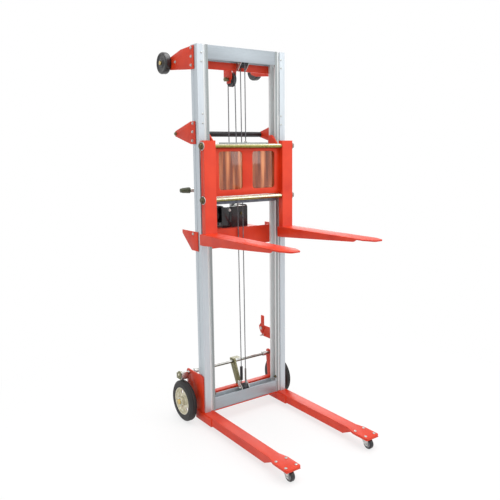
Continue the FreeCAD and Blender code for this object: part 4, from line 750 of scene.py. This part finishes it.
def rear_wheel(tag, sign):
    """A ribbed tyre with bevelled shoulders on a dished rim with round holes."""
    body = "rear_wheel_" + tag
    centre = middle("rear_tyre_" + tag)
    half, outer = turned_size("rear_tyre_" + tag)
    wall = [(-half + 1, 67), (-half, 72), (-half, 80), (-half + 1.2, 82), (-half, 84), (-half, 88)]
    shoulder = [(-half + 6, outer - 3), (-half + 9, outer)]
    groove = [(-7.1, outer), (-6.6, outer - 2.5), (-4.4, outer - 2.5), (-3.9, outer)]
    tyre = lathe(mirrored(wall + shoulder + groove), centre, steps=96, reach=1.4)
    finished(f"tyre_{tag}", tyre, body, TYRE, [f"rear_tyre_{tag}"])
    hub, _ = turned_size("rear_rim_" + tag)
    shell = [(-17, 67), (-17, 63), (-15, 61.5), (-11, 61.5), (-4, 58), (-4, 56)]
    barrel = [(-hub, 10.2), (-hub, 20), (-hub + 2, 22), (-8, 22), (-5, 25)]
    hole_circle = 44
    holes = [(0, 0, 21)]
    for k in range(6):
        angle = 2 * math.pi * k / 6
        holes.append((hole_circle * math.sin(angle), hole_circle * math.cos(angle), 10))
    rim = joined(
        lathe(mirrored(shell), centre, steps=96, reach=1.0),
        lathe(mirrored(barrel), centre, steps=64, reach=0.8),
        across_x(pierced_disc(58.5, holes, wall=5, round_off=1.0), *centre),
    )
    finished(f"rim_{tag}", rim, body, RIM, [f"rear_rim_{tag}"])
    face = centre.x + sign * hub
    profile = tube(face, face + 2.4 * sign, 10.3, 18)
    washer = lathe(profile, (0, centre.y, centre.z), steps=48, reach=0.4)
    finished(f"axle_washer_{tag}", washer, "frame", ZINC)


def loading_wheel(tag):
    """A solid rubber wheel with a rounded tread, a recessed web and a raised hub."""
    node = "loading_wheel_" + tag
    half, outer = turned_size(node)
    hub = [(-half, 6.2), (-half, 14), (-half + 1.5, 20)]
    web = [(-half + 5, 22), (-half + 5, 37)]
    tread = [(-half + 1, 40.5), (-half, 43), (-half + 1, 47), (-half + 7, outer)]
    wheel = lathe(mirrored(hub + web + tread), middle(node), steps=96, reach=3.0)
    finished(f"rubber_wheel_{tag}", wheel, node, WHEEL, [node])


def caster_wheel(tag):
    """A small black tyre on a grey plastic centre with a raised boss."""
    node = "caster_wheel_" + tag
    half, outer = turned_size(node)
    tread = [(-half + 1, 16), (-half, 18), (-half + 1.5, 21.5), (-half + 5, outer)]
    tyre = lathe(mirrored(tread), middle(node), steps=64, reach=1.6)
    finished(f"caster_tyre_{tag}", tyre, node, WHEEL, [node])
    boss = [(-half, 4.1), (-half, 8), (-half + 2.5, 9)]
    web = [(-half + 2.5, 14.5), (-half + 0.8, 15.5), (-half + 0.8, 16.3)]
    core = lathe(mirrored(boss + web), middle(node), steps=64, reach=0.5)
    finished(f"caster_centre_{tag}", core, node, GREY)


# Rope and sheaves


# The middle of the rope lies this far under a sheave's rim
ROPE_SINK = 4
# The handle of a quarter circle of radius one
QUARTER = 4 / 3 * math.tan(math.pi / 8)


def grooved_sheave(node):
    """A pulley with a round rope groove, dished sides and a long hub."""
    hub, rim = turned_size(node)
    boss = 11
    web = rim - boss
    dish = [(-7, boss + 0.18 * web), (-4.6, boss + 0.3 * web)]
    dish += [(-4.6, boss + 0.55 * web), (-7, boss + 0.68 * web)]
    side = [(-hub, 6.1), (-hub, boss), (-7, boss)] + dish + [(-7, rim), (-5, rim)]
    groove_size = 3.0
    groove = []
    for k in range(7):
        angle = math.pi * k / 6
        depth = rim - ROPE_SINK - groove_size * math.sin(angle)
        groove.append((-groove_size * math.cos(angle), depth))
    wheel = lathe(mirrored(side, groove), middle(node), steps=64, reach=0.5)
    finished(node + "_wheel", wheel, node, NYLON, [node])


def bezier_path(knots):
    """A smooth path through knots of (place, way, reach behind, reach ahead), in millimetres."""
    curve = bpy.data.curves.new("rope_path", "CURVE")
    curve.dimensions = "3D"
    curve.resolution_u = 24
    curve.twist_mode = "MINIMUM"
    spline = curve.splines.new("BEZIER")
    spline.bezier_points.add(len(knots) - 1)
    for point, (spot, way, behind, ahead) in zip(spline.bezier_points, knots):
        point.co = Vector(spot) * MM
        point.handle_left = (Vector(spot) - Vector(way).normalized() * behind) * MM
        point.handle_right = (Vector(spot) + Vector(way).normalized() * ahead) * MM
    return bpy.data.objects.new("rope_path", curve)


def wire_rope(knots):
    """The strands of the wire rope along a path."""
    values = {"Strands": 6, "Strand Radius": 0.86 * MM, "Lay Radius": 1.6 * MM}
    values |= {"Lay Length": 34 * MM, "Step": 3.2 * MM, "Finish": WIRE}
    return smooth(run_tree(WIRE_ROPE, bezier_path(knots), values), 60)


def straight(start, end):
    """Knots of a straight run."""
    way = Vector(end) - Vector(start)
    third = way.length / 3
    return [(start, way, third, third), (end, way, third, third)]


def over_sheave(centre, radius, rise):
    """Knots of half a turn round a sheave from its rear side to its front, over it or under it."""
    x, y, z = centre
    reach = radius * QUARTER
    return [
        ((x, y + radius, z), (0, 0, rise), reach, reach),
        ((x, y, z + rise * radius), FORWARD, reach, reach),
        ((x, y - radius, z), (0, 0, -rise), reach, reach),
    ]


def winding(drum, last_x):
    """Knots of the rope's turns on the drum, which run leftward to the place where it leaves."""
    radius = 31.0
    pitch = 6.2
    turns = 6
    reach = radius * QUARTER
    knots = []
    for k in range(4 * turns + 1):
        angle = math.pi / 2 * k
        x = last_x + pitch * (turns - k / 4)
        spot = (x, drum.y - radius * math.cos(angle), drum.z + radius * math.sin(angle))
        way = (-pitch / 2 / math.pi, radius * math.sin(angle), radius * math.cos(angle))
        knots.append((spot, way, reach, reach))
    return knots


def groove_radius(node):
    """The radius at which the rope's middle lies on a sheave, in millimetres."""
    _, rim = turned_size(node)
    return rim - ROPE_SINK


def rope_across(name, knots, node):
    """A straight run of rope, laid in place on no body, with its rope node hidden."""
    piece = bpy.data.objects.new(name, wire_rope(knots))
    scene.collection.objects.link(piece)
    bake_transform(piece)
    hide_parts(node)


def ropes():
    """The four runs of the hoist rope, the two curved ones on the body that carries each, with hoses
    and a ferrule.
    """
    drum = middle("winch_drum")
    fixed = middle("fixed_sheave")
    low = middle("mast_bottom_sheave")
    high = middle("mast_top_sheave")
    wide = groove_radius("fixed_sheave")
    small = groove_radius("mast_top_sheave")
    # Up from the drum and over the fixed sheave
    knots = winding(drum, fixed.x)
    turn = over_sheave(fixed, wide, 1)
    third = (fixed.z - drum.z) / 3
    spot, _, behind, _ = knots[-1]
    knots[-1] = (spot, UPWARD, behind, third)
    spot, way, _, ahead = turn[0]
    turn[0] = (spot, way, third, ahead)
    mesh = wire_rope(knots + turn)
    finished("rope_from_winch", mesh, "frame", WIRE, ["rope_winch_run"])
    # Down to the inner mast's foot, up inside it and down to the carriage
    down = straight((fixed.x, fixed.y - wide, fixed.z), (low.x, low.y + small, low.z))
    rope_across("rope_to_inner_mast", down, "rope_mast_run")
    under = over_sheave(low, small, -1)
    over = over_sheave(high, small, 1)
    slant = Vector(over[0][0]) - Vector(under[2][0])
    third = slant.length / 3
    under[2] = (under[2][0], slant, small * QUARTER, third)
    over[0] = (over[0][0], slant, third, small * QUARTER)
    mesh = wire_rope(under + over)
    finished("rope_in_inner_mast", mesh, "inner_mast", WIRE, ["rope_inner_run"])
    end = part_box("rope_carriage_run")[0].z / MM
    front = high.y - small
    drop = straight((high.x, front, high.z), (high.x, front, end))
    rope_across("rope_to_carriage", drop, "rope_carriage_run")
    # Hoses that guard the rope at the inner mast's foot, and the ferrule at its end
    spot = (-0.7, low.y + small, 0)
    hose = lathe(tube(162, 232, 2.9, 7.4), spot, steps=32, reach=0.8, axis="Z")
    finished("rope_hose_rear", hose, "inner_mast", SLEEVE)
    spot = (0.8, low.y - small + 1.6, 0)
    hose = lathe(tube(170, 231, 2.9, 4.4), spot, steps=32, reach=0.6, axis="Z")
    finished("rope_hose_front", hose, "inner_mast", HOSE)
    collar = [(-25, 2.7), (-25, 6.4), (-19, 6.4), (-17, 5.8), (-7, 5.8)]
    collar += [(-5, 6.4), (-1, 6.2), (0, 5), (0, 2.7)]
    spot = (high.x, front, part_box("carriage_panel")[1].z / MM)
    ferrule = lathe(collar, spot, steps=40, reach=0.6, axis="Z")
    finished("rope_ferrule", ferrule, "carriage", ZINC)


# Winch, handle, carriage and brake


# A point on the brake shaft's axis
BRAKE_AXIS = (0, 305.5, 231)
ROD_HEIGHTS = (1329.5, 1090.5)


def crank_grip():
    """A ribbed turning grip, tapered towards its free end."""
    low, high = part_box("crank_grip")
    centre = middle("crank_grip")
    left = low.x / MM - centre.x
    right = high.x / MM - centre.x
    rib_pitch = 5.6
    rib_depth = 1.2
    profile = [(left, 5.2), (left, 8), (left + 2, 10.4), (left + 6, 12)]
    spot = left + 9
    while spot < right - 10:
        crest = 12 + 3 * (spot - left) / (right - left)
        valley = crest - rib_depth
        profile += [(spot, crest), (spot + 1.2, valley), (spot + 2.8, valley)]
        profile += [(spot + 4.0, crest + 0.3)]
        spot += rib_pitch
    profile += [(right - 4, 15), (right - 1, 13.5), (right, 11), (right, 5.2)]
    grip = lathe(profile, centre, steps=64, reach=0.7)
    finished("ribbed_grip", grip, "crank_grip", GRIP, ["crank_grip"])


def push_bar():
    """A sleeve along the push bar with a flange at each bracket."""
    half, _ = turned_size("push_handle")
    flange = [(-half, 11), (-half, 13), (-half + 6, 13)]
    neck = [(-half + 7, 12.2), (-half + 12, 12.2), (-half + 13, 13)]
    sleeve = lathe(mirrored(flange + neck), middle("push_handle"), steps=64, reach=0.6)
    finished("push_bar_sleeve", sleeve, "frame", SLEEVE, ["push_handle"])


def rod_washers():
    """Wide washers under the nuts of the carriage's cross rods."""
    y = middle("carriage_rods").y
    rings = []
    for z in ROD_HEIGHTS:
        for sign in (-1, 1):
            profile = tube(250 * sign, 252.6 * sign, 10.2, 19)
            rings.append(lathe(profile, (0, y, z), steps=48, reach=0.5))
    finished("rod_washers", joined(*rings), "carriage", ZINC)


def winch_housing():
    """The winch's front lip and top strip, and the stepped housing on its left side."""
    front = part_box("winch_frame")[0].y / MM
    outline = [(944, -79), (944, -24), (1038, -24), (1041, -79)]
    lip = plate(outline, "Y", front - LIP_PROUD, front + 1, 5)
    profile = [(-82, 14), (-82, 40), (-88, 41), (-90, 40), (-91, 36), (-93, 36), (-94, 40)]
    profile += [(-99, 39), (-101, 36), (-102, 24), (-102, 14)]
    drum = middle("winch_drum")
    barrel = lathe(profile, (0, drum.y, drum.z), steps=72, reach=0.8)
    finished("winch_housing", joined(lip, barrel), "frame", BLACK)
    outline = [(8, front + 1), (62, front + 1), (62, front + 18), (8, front + 18)]
    strip = plate(outline, "Z", 1040, 1042.4, 3)
    finished("winch_top_strip", strip, "frame", ZINC)


def sheave_guard():
    """The wide side plate of the fixed sheave's bracket, with the long end of the sheave's bolt."""
    side = -33.2
    outline = [(223, 1724), (250, 1724), (278, 1694), (278, 1642), (270, 1634)]
    outline += [(214, 1634), (210, 1640), (210, 1672), (223, 1672)]
    guard = plate(outline, "X", side, side + 3, 2)
    finished("sheave_guard", guard, "frame", RED)
    centre = middle("fixed_sheave")
    spot = (0, centre.y, centre.z)
    seat = side - 11
    end = seat - 9
    spacer = lathe(tube(side, seat, 0.5, 8.5), spot, steps=40, reach=0.3)
    profile = [(seat, 0.5), (seat, 11), (end + 1, 11), (end, 9.5), (end, 0.5)]
    nut = lathe(profile, spot, steps=6, reach=0.3)
    finished("sheave_bolt_end", joined(spacer, nut), "frame", OLIVE_ZINC)


def carriage_tie_lip():
    """The folded lip under the strip that ties the roller plates."""
    low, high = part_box("roller_tie")
    front = low.y / MM + 0.5
    rear = high.y / MM + 1.5
    outline = [(front, 1066), (rear, 1066), (rear, 1083), (front, 1083)]
    lip = plate(outline, "X", -174, 174, 1.5)
    finished("roller_tie_lip", lip, "carriage", STEEL)


def shaft_collars():
    """Thick collars on the brake shaft beside the base plates."""
    rings = []
    for sign in (-1, 1):
        profile = tube(-198 * sign, -222 * sign, 7.5, 12)
        rings.append(lathe(profile, BRAKE_AXIS, steps=48, reach=1.2))
    finished("shaft_collars", joined(*rings), "parking_brake", ZINC)


def brake_shoes():
    """Bent front plates and end eyes that hold the brake shoes on their shaft."""
    fronts = []
    eyes = []
    for sign in (-1, 1):
        outline = [(205, 300 * sign), (241, 296 * sign), (241, 262 * sign), (205, 256 * sign)]
        fronts.append(plate(outline, "Y", 293, 297.6, 4))
        profile = tube(301 * sign, 304.5 * sign, 7, 17)
        eyes.append(lathe(profile, BRAKE_AXIS, steps=48, reach=1.0))
    # Pale zinc front plates against the olive shoes and eyes: painted light on their lit front faces
    finished("brake_shoe_plates", joined(*fronts), "parking_brake", ZINC)
    finished("brake_shoe_eyes", joined(*eyes), "parking_brake", OLIVE_ZINC)
    ends = [(-302, *BRAKE_AXIS[1:], LEFTWARD, 15)]
    set_fasteners("brake_end_bolts", HEX, both_sides(ends), "parking_brake", RIM)


def panel_strip():
    """A plain strip along the panel's upper edge, notched over the rope's anchor."""
    notch = [(1312, 7), (1330, 7), (1330, 29), (1312, 29)]
    outline = [(1312, -152)] + notch + [(1312, 126), (1346, 126), (1346, -152)]
    finished("panel_strip", plate(outline, "Y", 140.6, 143.6), "carriage", SHADE_AND_DARK_ALUMINIUM)


# Edges of the solids that stay as packed


def soften_edges():
    """A small round on the edges of the plates, tubes and castings that stay as packed."""
    tree = smooth_tree()
    angle = [item.identifier for item in tree.interface.items_tree if item.name == "Angle"][0]
    for node, thing in frame["nodes"].items():
        if thing.hide_render or "upright" in node:
            continue
        merge = thing.modifiers.new("merge", "WELD")
        merge.merge_threshold = 1e-5
        flat = thing.modifiers.new("flat_faces", "DECIMATE")
        flat.decimate_type = "DISSOLVE"
        flat.angle_limit = math.radians(0.5)
        flat.delimit = {"MATERIAL"}
        # The winch frame's plates meet edge to edge, where a bevel would tear
        if node != "winch_frame":
            edge = thing.modifiers.new("round_off", "BEVEL")
            edge.width = EDGE_ROUND * MM
            edge.segments = 2
            edge.limit_method = "ANGLE"
            edge.angle_limit = math.radians(40)
        shade = thing.modifiers.new("shade", "NODES")
        shade.node_group = tree
        shade[angle] = math.radians(32)


# Stage, light and camera


def plainly_seen(tree):
    """1 for what the camera sees, in a reflection or through a clear sheet too, and 0 for the rest."""
    path = add(tree, "ShaderNodeLightPath").outputs
    seen = path["Is Camera Ray"]
    for other in ("Is Glossy Ray", "Is Transmission Ray"):
        seen = add(tree, "ShaderNodeMath", {0: seen, 1: path[other]}, operation="MAXIMUM").outputs[0]
    return seen


def stage():
    """A pale floor that keeps the shadow and fades into the white background."""
    shape = bmesh.new()
    bmesh.ops.create_circle(shape, cap_ends=True, segments=96, radius=30)
    mesh = mesh_of(shape, "floor")
    floor = bpy.data.objects.new("floor", mesh)
    scene.collection.objects.link(floor)
    material = bpy.data.materials.new("pale_floor")
    material.use_nodes = True
    tree = material.node_tree
    tree.nodes.clear()
    place = add(tree, "ShaderNodeTexCoord").outputs["Object"]
    reach = add(tree, "ShaderNodeVectorMath", {0: place}, operation="LENGTH").outputs["Value"]
    sockets = {"Value": reach, "From Min": 0.4, "From Max": 1.6, "To Min": 0.72}
    fade = add(tree, "ShaderNodeMapRange", sockets)
    sockets = {0: plainly_seen(tree), 1: fade.outputs[0]}
    share = add(tree, "ShaderNodeMath", sockets, operation="MULTIPLY")
    plain = add(tree, "ShaderNodeBsdfDiffuse", {"Color": colour("F2F2F2")})
    white = add(tree, "ShaderNodeEmission", {"Color": (1, 1, 1, 1), "Strength": 1.0})
    sockets = {0: share.outputs[0], 1: plain.outputs[0], 2: white.outputs[0]}
    mix = add(tree, "ShaderNodeMixShader", sockets)
    add(tree, "ShaderNodeOutputMaterial", {"Surface": mix.outputs[0]})
    mesh.materials.append(material)


def light():
    """Soft studio light: a pale surround and four large lamps."""
    world = bpy.data.worlds.new("studio")
    world.use_nodes = True
    scene.world = world
    tree = world.node_tree
    tree.nodes.clear()
    sockets = {"Value": plainly_seen(tree), "To Min": 0.64, "To Max": 1.0}
    level = add(tree, "ShaderNodeMapRange", sockets)
    sockets = {"Color": (1, 1, 1, 1), "Strength": level.outputs[0]}
    surround = add(tree, "ShaderNodeBackground", sockets)
    add(tree, "ShaderNodeOutputWorld", {"Surface": surround.outputs[0]})
    for name, spot, aim, width, watts in (
        ("key_lamp", (-1.2, -2.6, 3.6), (0, 0, 0.7), 2.2, 9),
        ("side_lamp", (1.75, -2.4, 2.2), (0, 0, 1.5), 1.5, 12),
        ("top_lamp", (0.1, -0.5, 4.2), (0, -0.1, 0), 3.0, 110),
        ("rear_lamp", (1.7, 2.5, 1.3), (-0.1, -0.2, 0.2), 2.0, 26),
    ):
        lamp = bpy.data.lights.new(name, "AREA")
        lamp.size = width
        lamp.energy = watts
        thing = bpy.data.objects.new(name, lamp)
        thing.location = spot
        thing.rotation_euler = (Vector(aim) - Vector(spot)).to_track_quat("-Z", "Y").to_euler()
        thing.visible_camera = False
        scene.collection.objects.link(thing)


def camera():
    """The photograph's view: from the front left, a little above the middle."""
    data = bpy.data.cameras.new("camera")
    data.sensor_fit = "HORIZONTAL"
    data.sensor_width = 36
    data.lens = 42.77
    spot = (-1.6099, -2.1611, 1.3066)
    azimuth = math.radians(-35.1585)
    pitch = math.radians(-9.4696)
    roll = math.radians(-0.6515)
    level = math.cos(pitch)
    ahead = Vector((-math.sin(azimuth) * level, math.cos(azimuth) * level, math.sin(pitch)))
    right = Vector((math.cos(azimuth), math.sin(azimuth), 0))
    up = right.cross(ahead)
    across = right * math.cos(roll) + up * math.sin(roll)
    upright = up * math.cos(roll) - right * math.sin(roll)
    turn = Matrix((across, upright, -ahead)).transposed()
    thing = bpy.data.objects.new("camera", data)
    thing.matrix_world = Matrix.Translation(spot) @ turn.to_4x4()
    scene.collection.objects.link(thing)
    scene.camera = thing


mast_fasteners()
base_fasteners()
winch_fasteners()
for side_tag, side_sign in (("left", -1), ("right", 1)):
    rear_wheel(side_tag, side_sign)
    loading_wheel(side_tag)
    caster_wheel(side_tag)
for sheave in ("fixed_sheave", "mast_top_sheave", "mast_bottom_sheave"):
    grooved_sheave(sheave)
ropes()
crank_grip()
push_bar()
rod_washers()
winch_housing()
sheave_guard()
carriage_tie_lip()
shaft_collars()
brake_shoes()
panel_strip()
soften_edges()
stage()
light()
camera()
scene.view_settings.view_transform = "Standard"
bpy.data.objects.remove(HEX)
bpy.data.objects.remove(DOME)
